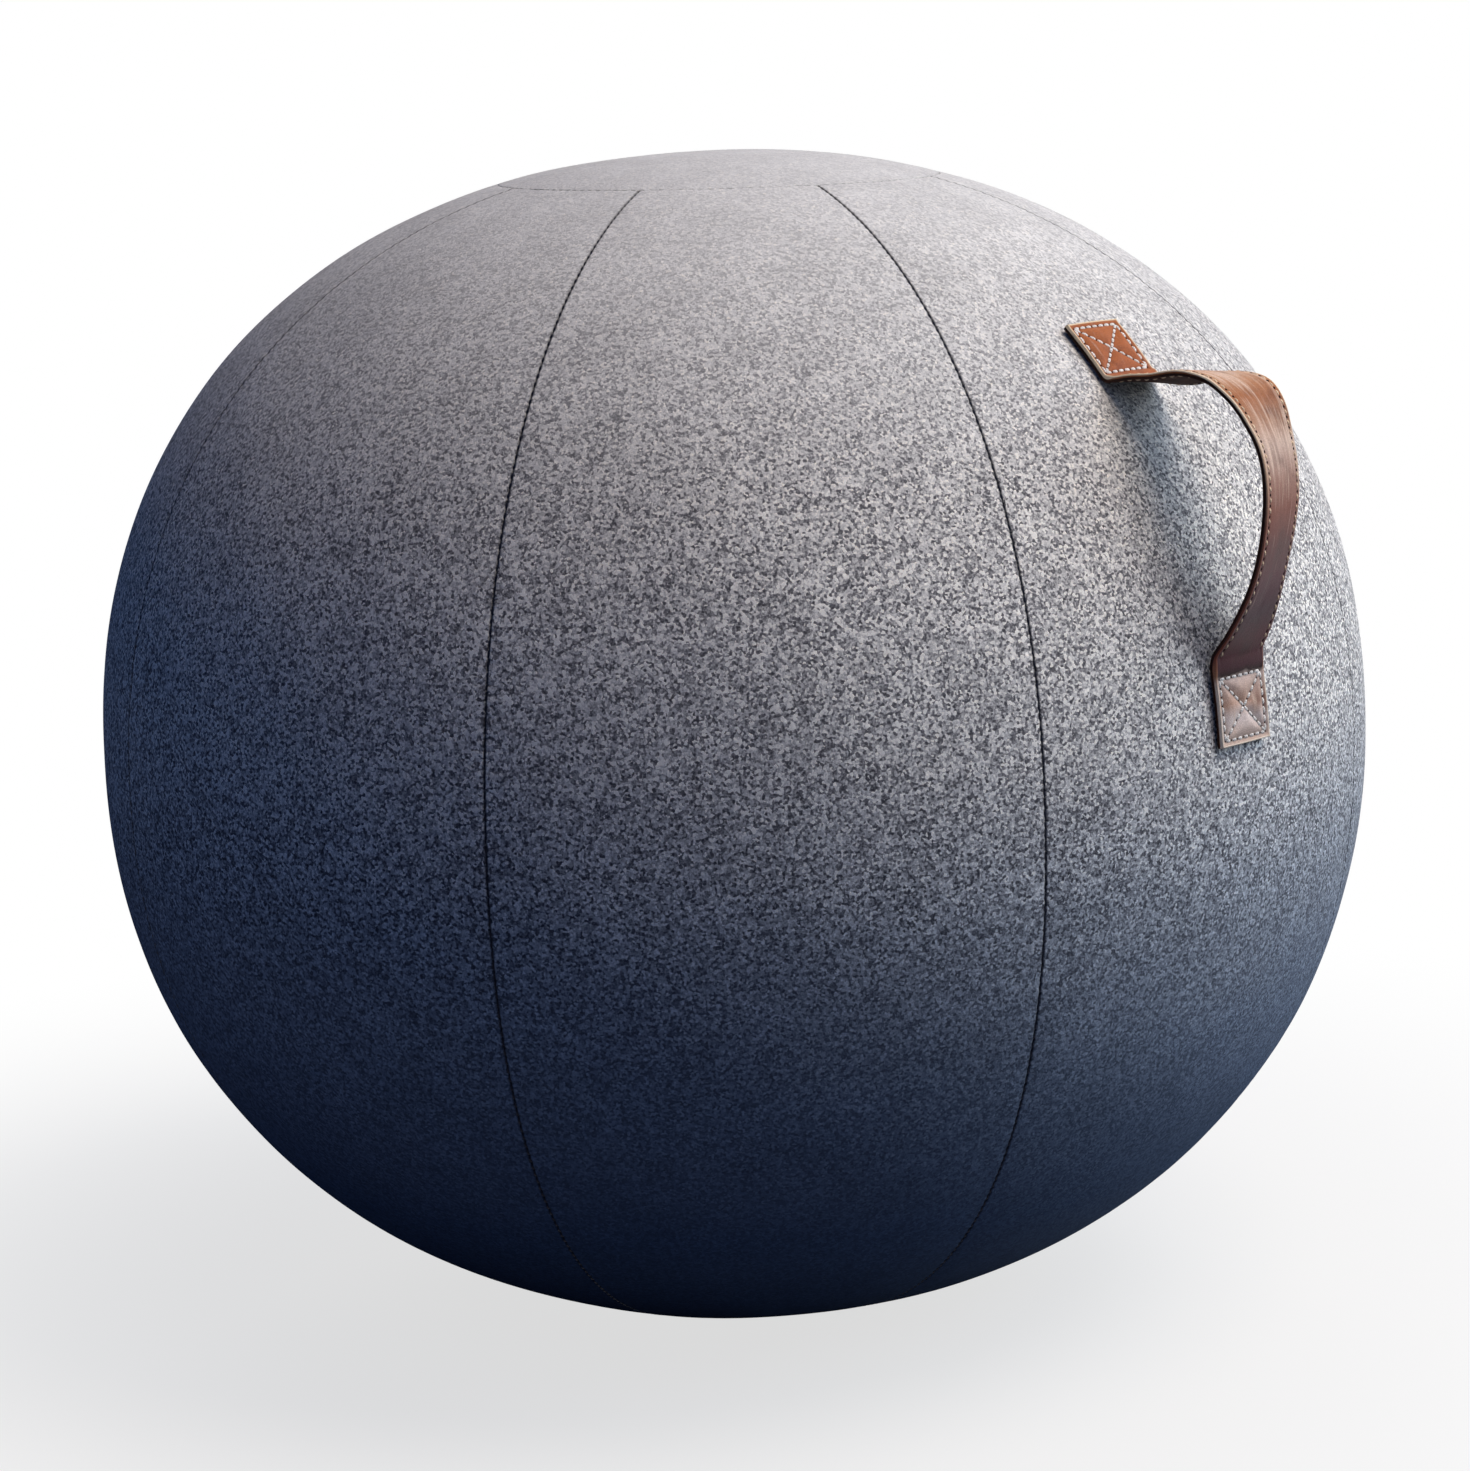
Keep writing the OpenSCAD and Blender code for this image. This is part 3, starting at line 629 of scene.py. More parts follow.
def closedStrip(name, section, length, place, material, attributes):
    # a closed strip: section points go round it, and place(along, point) puts each in space
    along = np.linspace(0, 1, length)
    k, a = np.meshgrid(np.arange(len(section)), along)
    points = place(a, section[k, 0], section[k, 1])
    n, m = k.shape
    faces = gridFaces(n, m, 0, wrap=True)
    faces += [list(range(m)), list(range((n - 1) * m, n * m))[::-1]]
    values = {key: make(a, section[k, 0], section[k, 1]).ravel() for key, make in attributes.items()}
    return makeObject(name, points.reshape(-1, 3), faces, material, attributes=values)


def tapeObject(name, side):
    # a woven tape with a bead beside its teeth
    half = zipper["tapeThickness"] / 2
    across = np.array([0, 0.06, 0.2, 0.5, 0.9, 1.2, 1.5, 2.2, 3.2, 4.6, 6.2, 8, 9.6, 10.6, 11.0, 11.2, 11.25]) * mm
    bead = zipper["bead"] * np.exp(-((across - zipper["beadPlace"]) / zipper["beadWidth"]) ** 2)
    rounding = np.array([0.55, 0.8, 0.95] + [1.0] * 11 + [0.95, 0.8, 0.55])
    face = (half + bead) * rounding
    section = np.concatenate([np.stack([across, face], axis=1), np.stack([across, -face], axis=1)[::-1]])
    section[:, 0] = side * (section[:, 0] + zipper["tapeEdge"])
    margin = zipper["endMargin"] / zipper["radius"]
    start, arc = zipper["start"] + margin, zipper["arc"] - 2 * margin

    def place(a, x, z):
        theta = start + a * arc
        lie = zipper["lie"] * np.sin(a * 61) * np.clip((np.abs(x) - 5 * mm) / (6 * mm), 0, 1)
        return onZip(theta, x, z + lie)

    return closedStrip(name, section, 360, place, tapeMaterial,
                       {"along": lambda a, x, z: a * arc * zipper["radius"], "across": lambda a, x, z: x,
                        "edgeDistance": lambda a, x, z: np.abs(x) - zipper["tapeEdge"]})


innerBall = {
    "depth": 6.7 * mm,       # below the felt's outer face
    "wall": 1.2 * mm,
    "ribPitch": 12 * mm, "ribDepth": 0.35 * mm,
    "ribStart": 0.05, "ribFade": 0.02,  # distance from the top at which they begin, and over which they rise
    "patchRadius": 78 * mm,  # flat patch in which the valve sits
    "valvePlace": 60 * mm, "valveHole": 8.15 * mm,
}


def innerBallObject(b, material):
    # a ribbed wall in two skins, joined round the valve's hole
    segments = 168
    sPatch = sAtBase(b["patchRadius"])
    s = np.concatenate([[0.002], np.linspace(0.004, sPatch, int(sPatch / (b["ribPitch"] / 3)))])
    theta = np.arange(segments) * 2 * math.pi / segments
    verts, faces, ribs, rims = [], [], [], []

    def patch(rings):
        # circles that lead from the edge of the flat patch to the valve's hole
        share = np.linspace(0, 1, rings)[1:, None]
        radius = b["patchRadius"] * (1 - share) + b["valveHole"] * share
        x = b["valvePlace"] * share + radius * np.cos(theta)[None, :]
        y = radius * np.sin(theta)[None, :]
        return sAtBase(np.hypot(x, y)), np.arctan2(y, x)

    for inner in (False, True):
        rows = s[::5] if inner else s
        rows = np.append(rows, sPatch) if rows[-1] < sPatch else rows
        sGrid, angle = np.repeat(rows[:, None], segments, 1), np.repeat(theta[None, :], len(rows), 0)
        sLow, angleLow = patch(5 if inner else 14)
        sGrid, angle = np.concatenate([sGrid, sLow]), np.concatenate([angle, angleLow])
        rib = np.cos(2 * math.pi * sGrid / b["ribPitch"]) ** 8 * (np.arange(len(sGrid)) < len(rows))[:, None]
        rib *= np.clip((sGrid - b["ribStart"]) / b["ribFade"], 0, 1)
        depth = b["depth"] + (b["wall"] if inner else b["ribDepth"] * rib)
        first = sum(len(v) for v in verts)
        verts.append(onBall(sGrid, angle, depth).reshape(-1, 3))
        verts.append(onBall(np.array([0.0]), np.array([0.0]), b["depth"] + (b["wall"] if inner else 0)))
        ribs += [rib.ravel(), np.zeros(1)]
        n = len(sGrid)
        faces += gridFaces(n, segments, first, wrap=True, flip=inner)
        pole = first + n * segments
        faces += [[first + k, first + (k + 1) % segments, pole] for k in range(segments)]
        rims.append(pole - segments)
    for k in range(segments):
        following = (k + 1) % segments
        faces.append([rims[0] + k, rims[0] + following, rims[1] + following, rims[1] + k])
    values = {"rib": np.concatenate(ribs)}
    return makeObject("vinyl_ball", np.concatenate(verts), faces, material, attributes=values)


backing = {
    "depth": 3.3 * mm, "thickness": 1.5 * mm,
    "margin": 5 * mm,     # beyond the strap's sewn end, all round
    "corner": 6 * mm,
    "rowInset": 8 * mm, "dip": 0.25 * mm, "dipWidth": 1.2 * mm,  # of the sewing that draws it in
}


def backingObject(name, span, b, material):
    # a rounded patch against the inside of the felt, drawn in where the sewing goes through it
    low, high = (np.interp(place, strapPlace, strapMid[:, 1]) for place in (span[1], span[0]))
    if span[0]:
        high = midHeight + handle["heelHeight"]
    else:
        low = midHeight + handle["headHeight"]
    low, high = low - b["margin"], high + b["margin"]
    sLow, sHigh = (float(np.interp(-z, -lineZ[:widest], lineS[:widest])) for z in (low, high))
    along, side = np.linspace(sHigh, sLow, 44), np.linspace(-1, 1, 40)
    fromEnd = np.minimum(along - sHigh, sLow - along)
    cut = b["corner"] - np.sqrt(np.maximum(b["corner"] ** 2 - np.maximum(b["corner"] - fromEnd, 0) ** 2, 0))
    half = handle["width"] / 2 + b["margin"]
    y = side[None, :] * (half - cut)[:, None]
    sGrid = np.repeat(along[:, None], 40, 1)
    theta = handle["turn"] + y / np.interp(sGrid, lineS, lineR)
    edge = np.minimum(fromEnd[:, None], (half - cut)[:, None] - np.abs(y))
    centre, halfLength = (sHigh + sLow) / 2, (sLow - sHigh) / 2
    sewn = np.minimum(np.abs(np.abs(y) - half + b["rowInset"]),
                      np.abs(np.abs(sGrid - centre) - halfLength + b["rowInset"]))
    dip = b["dip"] * np.exp(-(sewn / b["dipWidth"]) ** 2)
    rounding = 0.35 * b["thickness"] * np.exp(-edge / (0.5 * mm))
    outer = onBall(sGrid, theta, b["depth"] + rounding + dip * 0.4).reshape(-1, 3)
    inner = onBall(sGrid, theta, b["depth"] + b["thickness"] - rounding - dip).reshape(-1, 3)
    return makeObject(name, np.concatenate([outer, inner]), shellFaces(*sGrid.shape), material,
                      attributes={"along": np.tile(sGrid.ravel(), 2), "across": np.tile(y.ravel(), 2)})


# Materials. Each builds its own small node tree on the shader that a new material comes with.
socketNames = {
    "roughness": "Roughness", "metallic": "Metallic", "specular": "Specular IOR Level",
    "sheen": "Sheen Weight", "sheenRoughness": "Sheen Roughness",
    "coat": "Coat Weight", "coatRoughness": "Coat Roughness",
}


def newMaterial(name, **settings):
    material = bpy.data.materials.new(name)
    material.use_nodes = True
    tree = material.node_tree
    shader = tree.nodes["Principled BSDF"]
    for key, value in settings.items():
        shader.inputs[socketNames[key]].default_value = value
    return material, tree, shader


def put(tree, kind, inputs=None, **settings):
    node = tree.nodes.new(kind)
    for key, value in settings.items():
        setattr(node, key, value)
    for key, value in (inputs or {}).items():
        if isinstance(value, bpy.types.NodeSocket):
            tree.links.new(value, node.inputs[key])
        else:
            node.inputs[key].default_value = value
    return node


def calc(tree, operation, a, b=0.0, c=0.0):
    return put(tree, "ShaderNodeMath", {0: a, 1: b, 2: c}, operation=operation).outputs[0]


def rescale(tree, value, fromLow, fromHigh, toLow, toHigh, kind="LINEAR"):
    return put(tree, "ShaderNodeMapRange", {"Value": value, "From Min": fromLow, "From Max": fromHigh,
                                            "To Min": toLow, "To Max": toHigh}, interpolation_type=kind).outputs[0]


def blendColour(tree, share, a, b, kind="MIX"):
    return put(tree, "ShaderNodeMix", {0: share, 6: a, 7: b}, data_type="RGBA", blend_type=kind).outputs[2]


def tinted(tree, a, b):
    return blendColour(tree, 1.0, a, b, "MULTIPLY")


def shaded(tree, colour, level):
    grey = put(tree, "ShaderNodeCombineColor", {0: level, 1: level, 2: level}).outputs[0]
    return tinted(tree, colour, grey)


def ramp(tree, value, stops):
    node = put(tree, "ShaderNodeValToRGB", {"Fac": value})
    elements = node.color_ramp.elements
    while len(elements) < len(stops):
        elements.new(1.0)
    for element, (place, colour) in zip(elements, stops):
        element.position = place
        element.color = (*colour, 1) if len(colour) == 3 else colour
    return node.outputs["Color"]


def grey(value):
    return (value, value, value)


def lit(colour, strength):
    return tuple(min(1, c * strength) for c in colour)


def noise(tree, vector, scale, detail=2.0, roughness=0.5, distortion=0.0):
    return put(tree, "ShaderNodeTexNoise", {"Vector": vector, "Scale": scale, "Detail": detail,
                                            "Roughness": roughness, "Distortion": distortion})


def objectPlace(tree):
    return put(tree, "ShaderNodeTexCoord").outputs["Object"]


def attribute(tree, name):
    return put(tree, "ShaderNodeAttribute", attribute_name=name).outputs["Fac"]


def stretched(tree, vector, scale, turn=(0.0, 0.0, 0.0)):
    return put(tree, "ShaderNodeMapping", {"Vector": vector, "Scale": scale, "Rotation": turn}).outputs[0]


def bump(tree, height, distance, strength=1.0, normal=None):
    inputs = {"Height": height, "Distance": distance, "Strength": strength}
    if normal:
        inputs["Normal"] = normal
    return put(tree, "ShaderNodeBump", inputs).outputs["Normal"]


def join(tree, output, shader, key):
    tree.links.new(output, shader.inputs[key])


feltLook = {
    # colour by height, from the foot at 0 to the top at 1: the felt's grey dye, darkening to navy towards the foot
    # as painted shade
    "dyeAndPaintedLight": [(0.0, (0.06, 0.10, 0.20)), (0.16, (0.085, 0.135, 0.255)), (0.3, (0.20, 0.25, 0.355)),
            (0.43, (0.34, 0.375, 0.45)), (0.56, (0.59, 0.59, 0.62)), (0.75, (0.66, 0.65, 0.665)),
            (1.0, (0.69, 0.69, 0.71))],
    "fleck": 1.3 * mm, "fineFleck": 1.1 * mm,
    # how much of the dark and of the pale wool shows, by height: the flecks fade towards the top as a painted
    # washed-out highlight, and towards the foot as painted shade
    "darkWool": [(0.0, grey(0.15)), (0.2, grey(0.4)), (0.34, grey(0.7)), (0.46, grey(1.0)), (0.76, grey(1.0)),
                 (0.88, grey(0.6)), (0.95, grey(0.3)), (1.0, grey(0.15))],
    "paleWool": [(0.0, grey(0.15)), (0.2, grey(0.4)), (0.34, grey(0.7)), (0.46, grey(1.0)), (0.66, grey(0.85)),
                 (0.78, grey(0.42)), (0.88, grey(0.22)), (1.0, grey(0.08))],
    # the panel under the ball
    "baseDye": [(0.0, (0.035, 0.06, 0.13)), (0.2, (0.045, 0.075, 0.15))],
    "baseWool": [(0.0, grey(0.5))],
    # tones of the dark and of the pale wool, over the mix of clumps, finer noise and fibres
    "darkTones": [(0.17, (0.15, 0.15, 0.17)), (0.33, (0.42, 0.42, 0.445)), (0.49, grey(0.97))],
    "paleTones": [(0.47, grey(1.0)), (0.58, grey(1.28)), (0.71, (1.84, 1.82, 1.74)), (0.85, (2.7, 2.64, 2.46))],
    "clumps": 0.56, "fine": 0.34, "fibres": 0.1,
    "warmHairs": (1.25, 1.12, 0.92),
    "seamShade": 0.2, "seamShadeWidth": 1.3 * mm,
}


def feltFinish(name, dyeAndPaintedLight, darkWool, paleWool):
    look = feltLook
    material, tree, shader = newMaterial(name, roughness=1.0, specular=0.0, sheen=0.08, sheenRoughness=0.55)
    place = objectPlace(tree)
    height = put(tree, "ShaderNodeSeparateXYZ", {0: place}).outputs["Z"]
    cloud = noise(tree, place, 9.0, 3.0, 0.55).outputs["Fac"]
    level = calc(tree, "ADD", calc(tree, "MULTIPLY", height, 1 / fullHeight),
                 calc(tree, "MULTIPLY_ADD", cloud, 0.05, -0.025))
    # the colour by height: the grey dye, with painted shade darkening it to navy towards the foot
    base = ramp(tree, level, dyeAndPaintedLight)
    # clumps of wool: warped cells, each with its own tone, softened by finer noise
    warp = noise(tree, place, 620.0, 2.0, 0.6).outputs["Color"]
    moved = put(tree, "ShaderNodeMix", {0: 0.0012, 4: place, 5: warp}, data_type="VECTOR").outputs[1]
    cells = put(tree, "ShaderNodeTexVoronoi", {"Vector": moved, "Scale": 1 / look["fleck"], "Randomness": 1.0})
    tone = put(tree, "ShaderNodeSeparateColor", {0: cells.outputs["Color"]}).outputs[0]
    fine = noise(tree, moved, 1 / look["fineFleck"], 3.0, 0.62).outputs["Fac"]
    fine = rescale(tree, fine, 0.3, 0.7, 0.0, 1.0)
    streaks = [noise(tree, stretched(tree, place, (1400.0, 300.0, 1400.0), turn), 1.0, 2.0, 0.5).outputs["Fac"]
               for turn in ((0.0, 0.4, 0.3), (0.6, 1.3, 1.4), (1.2, 0.2, 2.5))]
    fibres = calc(tree, "MAXIMUM", calc(tree, "MAXIMUM", streaks[0], streaks[1]), streaks[2])
    fibres = rescale(tree, fibres, 0.48, 0.74, 0.0, 1.0)
    mix = calc(tree, "ADD", calc(tree, "MULTIPLY", tone, look["clumps"]),
               calc(tree, "MULTIPLY", fine, look["fine"]))
    mix = calc(tree, "ADD", mix, calc(tree, "MULTIPLY", fibres, look["fibres"]))
    plain = grey(1.0) + (1,)
    # the flecks fade by height towards the top and the foot: painted highlight and painted shade
    dark = blendColour(tree, ramp(tree, level, darkWool), plain, ramp(tree, mix, look["darkTones"]))
    pale = blendColour(tree, ramp(tree, level, paleWool), plain, ramp(tree, mix, look["paleTones"]))
    colour = tinted(tree, base, tinted(tree, dark, pale))
    # a few warmer hairs, and shade down in the seams
    warm = rescale(tree, calc(tree, "MULTIPLY", fibres, tone), 0.45, 0.8, 0.0, 0.35)
    colour = blendColour(tree, warm, colour, tinted(tree, colour, look["warmHairs"] + (1,)))
    patchy = rescale(tree, noise(tree, place, 38.0, 3.0, 0.6).outputs["Fac"], 0.3, 0.7, 0.93, 1.07)
    shade = rescale(tree, attribute(tree, "seamDistance"), 0.0, look["seamShadeWidth"], look["seamShade"], 1.0,
                    "SMOOTHSTEP")
    join(tree, shaded(tree, colour, calc(tree, "MULTIPLY", shade, patchy)), shader, "Base Color")
    clumps = bump(tree, mix, 0.5 * mm, 0.7)
    hairs = stretched(tree, place, (2300.0, 2300.0, 700.0), (0.5, 0.3, 0.9))
    fuzz = noise(tree, hairs, 1.0, 3.0, 0.6).outputs["Fac"]
    join(tree, bump(tree, fuzz, 0.25 * mm, 0.5, clumps), shader, "Normal")
    return material


leatherLook = {
    # colours along the strap, from its upper end at 0 to its lower end at 1:
    # sewn end, bend, hand hold, foot, sewn end; the brown dye carries painted highlights on the bend, the hand hold
    # and the lower sewn end, and painted shade on the dark lower stretch and its fold
    "dyeAndPaintedLight": [(0.0, (0.43, 0.13, 0.04)), (0.12, (0.40, 0.12, 0.04)), (0.26, (0.43, 0.15, 0.055)),
            (0.33, (0.61, 0.34, 0.20)), (0.39, (0.38, 0.14, 0.055)), (0.435, (0.46, 0.25, 0.16)),
            (0.475, (0.60, 0.44, 0.38)), (0.53, (0.40, 0.22, 0.175)), (0.58, (0.27, 0.105, 0.08)),
            (0.64, (0.15, 0.052, 0.052)), (0.70, (0.10, 0.032, 0.044)), (0.76, (0.055, 0.018, 0.032)),
            (0.81, (0.10, 0.028, 0.038)), (0.87, (0.055, 0.015, 0.026)), (0.880, (0.02, 0.008, 0.01)),
            (0.886, (0.70, 0.56, 0.52)), (0.93, (0.58, 0.37, 0.29)), (0.955, (0.82, 0.72, 0.71)),
            (1.0, (0.66, 0.48, 0.40))],
    # edge colour: dark edge paint, with a painted orange reflection along the upper arch
    "edgePaintAndReflection": [(0.0, (0.014, 0.008, 0.007)), (0.12, (0.03, 0.014, 0.01)), (0.15, (0.42, 0.17, 0.07)),
                  (0.28, (0.38, 0.15, 0.06)), (0.33, (0.02, 0.009, 0.008)), (0.56, (0.016, 0.008, 0.008)),
                  (0.72, (0.06, 0.02, 0.02)), (0.87, (0.03, 0.01, 0.012)), (0.9, (0.16, 0.06, 0.035))],
    # rim: a worn pale rim round the face, darkened along the lower stretch as painted shade
    "rim": [(0.0, (0.88, 0.74, 0.52)), (0.4, (0.92, 0.80, 0.62)), (0.5, (0.74, 0.52, 0.36)),
            (0.6, (0.30, 0.13, 0.09)), (0.84, (0.26, 0.075, 0.05)), (0.88, (0.5, 0.24, 0.14)),
            (0.9, (0.9, 0.78, 0.66))],
    # how worn it is, most of all on the bend and where the hand goes: real rubbed streaks, which also paint the
    # highlights where the light catches the bend, the hand hold and the lower sewn end
    "worn": [(0.0, grey(0.15)), (0.26, grey(0.4)), (0.33, grey(1.0)), (0.38, grey(0.5)), (0.44, grey(0.6)),
             (0.48, grey(0.8)), (0.54, grey(0.5)), (0.62, grey(0.25)), (0.7, grey(0.05)), (0.87, grey(0.0)),
             (0.9, grey(0.5))],
    # pale is the colour of the rubbed streaks and of the painted highlights
    "pale": (0.80, 0.62, 0.52), "deep": (0.42, 0.34, 0.33), "creases": (0.45, 0.38, 0.36),
    "rimWidth": 1.3 * mm,
    "grain": 0.9 * mm, "grainDepth": 0.06 * mm,
}


def leatherGrain(tree, place, shader, depth, size):
    pebble = put(tree, "ShaderNodeTexVoronoi", {"Vector": place, "Scale": 1 / size, "Randomness": 0.9},
                 feature="DISTANCE_TO_EDGE").outputs["Distance"]
    pebble = rescale(tree, pebble, 0.0, 0.25, 0.0, 1.0, "SMOOTHSTEP")
    pores = noise(tree, place, 2.6 / size, 3.0, 0.6).outputs["Fac"]
    crease = noise(tree, stretched(tree, place, (60.0, 260.0, 60.0)), 1.0, 4.0, 0.62, 0.6).outputs["Fac"]
    grain = bump(tree, calc(tree, "MULTIPLY_ADD", pores, 0.5, pebble), depth, 0.55)
    join(tree, bump(tree, crease, 3.0 * depth, 0.5, grain), shader, "Normal")
    return pebble, pores


def strapLeather(name, look):
    material, tree, shader = newMaterial(name, specular=0.1)
    place = objectPlace(tree)
    pebble, pores = leatherGrain(tree, place, shader, look["grainDepth"], look["grain"])
    cloud = noise(tree, place, 55.0, 4.0, 0.6, 0.4).outputs["Fac"]
    along, across = attribute(tree, "strapPlace"), attribute(tree, "strapAcross")
    share = calc(tree, "MULTIPLY", along, 1 / strapLength)
    # colour along the strap: the dye, with painted highlights on the bend, hand hold and lower sewn end, and
    # painted shade on the lower stretch and its fold
    colour = ramp(tree, calc(tree, "ADD", share, rescale(tree, cloud, 0.3, 0.7, -0.006, 0.006)), look["dyeAndPaintedLight"])
    colour = blendColour(tree, rescale(tree, cloud, 0.28, 0.5, 0.8, 0.0), colour,
                         tinted(tree, colour, look["deep"] + (1,)))
    # rubbed lengthwise streaks, thickest where the worn ramp also paints highlights, and darker creases between the
    # pebbles
    flat = put(tree, "ShaderNodeCombineXYZ", {0: along, 1: across}).outputs[0]
    rub = noise(tree, stretched(tree, flat, (28.0, 330.0, 1.0)), 1.0, 4.0, 0.65).outputs["Fac"]
    streaks = calc(tree, "MULTIPLY_ADD", ramp(tree, share, look["worn"]), 0.26, rub)
    scuffs = rescale(tree, streaks, 0.62, 0.86, 0.0, 0.85, "SMOOTHSTEP")
    colour = blendColour(tree, scuffs, colour, look["pale"] + (1,))
    colour = blendColour(tree, rescale(tree, pebble, 0.0, 1.0, 0.45, 0.0), colour,
                         tinted(tree, colour, look["creases"] + (1,)))
    # worn pale rim round the face, darkened along the lower stretch as painted shade; dark painted edges below it,
    # orange along the upper arch as a painted reflection
    edge = attribute(tree, "edgeDistance")
    rim = rescale(tree, edge, 0.5 * look["rimWidth"], look["rimWidth"], 1.0, 0.0, "SMOOTHSTEP")
    wear = calc(tree, "MULTIPLY", rim, rescale(tree, pores, 0.3, 0.6, 0.6, 1.0))
    colour = blendColour(tree, wear, colour, ramp(tree, share, look["rim"]))
    paint = rescale(tree, attribute(tree, "outerFace"), 0.62, 0.8, 1.0, 0.0)
    colour = blendColour(tree, paint, colour, ramp(tree, share, look["edgePaintAndReflection"]))
    # painted shade in the grooves that the sewing draws into the sewn ends
    sewing = rescale(tree, attribute(tree, "sewingDistance"), 0.0, 1.6 * mm, 0.55, 1.0, "SMOOTHSTEP")
    join(tree, shaded(tree, colour, sewing), shader, "Base Color")
    rough = calc(tree, "ADD", rescale(tree, cloud, 0.3, 0.7, 0.36, 0.5), calc(tree, "MULTIPLY", scuffs, 0.25))
    join(tree, calc(tree, "ADD", rough, calc(tree, "MULTIPLY", paint, 0.1)), shader, "Roughness")
    return material


def liningLeather(name):
    material, tree, shader = newMaterial(name, roughness=0.8, specular=0.08)
    place = objectPlace(tree)
    leatherGrain(tree, place, shader, 0.09 * mm, 0.6 * mm)
    nap = noise(tree, place, 120.0, 4.0, 0.65).outputs["Fac"]
    tones = [(0.3, (0.018, 0.009, 0.008)), (0.55, (0.045, 0.02, 0.015)), (0.75, (0.085, 0.04, 0.026))]
    join(tree, ramp(tree, nap, tones), shader, "Base Color")
    return material


def threadFinish(name, colour):
    # twisted thread: its plies run slantwise round each stitch
    material, tree, shader = newMaterial(name, roughness=0.7, specular=0.08, sheen=0.02, sheenRoughness=0.4)
    local = put(tree, "ShaderNodeAttribute", attribute_name="stitchPlace").outputs["Vector"]
    part = put(tree, "ShaderNodeSeparateXYZ", {0: local}).outputs
    turn = calc(tree, "MULTIPLY", calc(tree, "ARCTAN2", part[1], part[2]), 2.0)
    plies = 7 * math.pi
    wave = calc(tree, "SINE", calc(tree, "ADD", calc(tree, "MULTIPLY", part[0], plies), turn))
    wave = rescale(tree, wave, -1.0, 1.0, 0.0, 1.0)
    fibre = noise(tree, objectPlace(tree), 2600.0, 3.0, 0.6).outputs["Fac"]
    worn = noise(tree, objectPlace(tree), 130.0, 2.0, 0.5).outputs["Fac"]
    tone = calc(tree, "MULTIPLY", rescale(tree, wave, 0.0, 1.0, 0.6, 1.05),
                rescale(tree, fibre, 0.3, 0.7, 0.85, 1.1))
    tone = calc(tree, "MULTIPLY", tone, rescale(tree, worn, 0.35, 0.65, 0.82, 1.08))
    join(tree, shaded(tree, colour + (1,), tone), shader, "Base Color")
    join(tree, bump(tree, calc(tree, "MULTIPLY_ADD", fibre, 0.3, wave), 0.06 * mm, 0.7), shader, "Normal")
    return material


# dark discs between the stitches: the shade inside each needle hole, painted
def holeFinish(name, colour):
    material, tree, shader = newMaterial(name, roughness=1.0, specular=0.1)
    pores = noise(tree, objectPlace(tree), 1900.0, 2.0, 0.6).outputs["Fac"]
    join(tree, ramp(tree, pores, [(0.3, lit(colour, 0.5)), (0.7, colour)]), shader, "Base Color")
    return material


def wovenFinish(name, dark, pale, yarn, herringbone=0.0):
    # yarns over and under each other, in slanting rows where herringbone is set
    material, tree, shader = newMaterial(name, roughness=0.95, specular=0.15, sheen=0.15, sheenRoughness=0.5)
    along, across = attribute(tree, "along"), attribute(tree, "across")

    def yarnWave(place, frequency):
        return calc(tree, "SINE", calc(tree, "MULTIPLY", place, frequency))

    if herringbone:
        slanted = calc(tree, "ADD", along, calc(tree, "PINGPONG", across, herringbone))
        weave = calc(tree, "ABSOLUTE", yarnWave(slanted, math.pi / yarn))
        fine = calc(tree, "ABSOLUTE", yarnWave(across, 2 * math.pi / yarn))
        weave = calc(tree, "MULTIPLY_ADD", fine, 0.25, calc(tree, "MULTIPLY", weave, 0.8))
    else:
        over = calc(tree, "MULTIPLY", yarnWave(along, math.pi / yarn), yarnWave(across, math.pi / yarn))
        weave = rescale(tree, over, -1.0, 1.0, 0.0, 1.0)
        weave = calc(tree, "MULTIPLY_ADD", calc(tree, "ABSOLUTE", over), 0.5, calc(tree, "MULTIPLY", weave, 0.5))
    fibre = noise(tree, objectPlace(tree), 1700.0, 3.0, 0.6).outputs["Fac"]
    lint = noise(tree, objectPlace(tree), 160.0, 4.0, 0.65).outputs["Fac"]
    share = calc(tree, "MULTIPLY", weave, rescale(tree, fibre, 0.3, 0.7, 0.7, 1.2))
    share = calc(tree, "MULTIPLY", share, rescale(tree, lint, 0.35, 0.65, 0.85, 1.1))
    join(tree, ramp(tree, share, [(0.1, dark), (0.9, pale)]), shader, "Base Color")
    join(tree, bump(tree, calc(tree, "MULTIPLY_ADD", fibre, 0.2, weave), 0.15 * mm, 0.8), shader, "Normal")
    return material


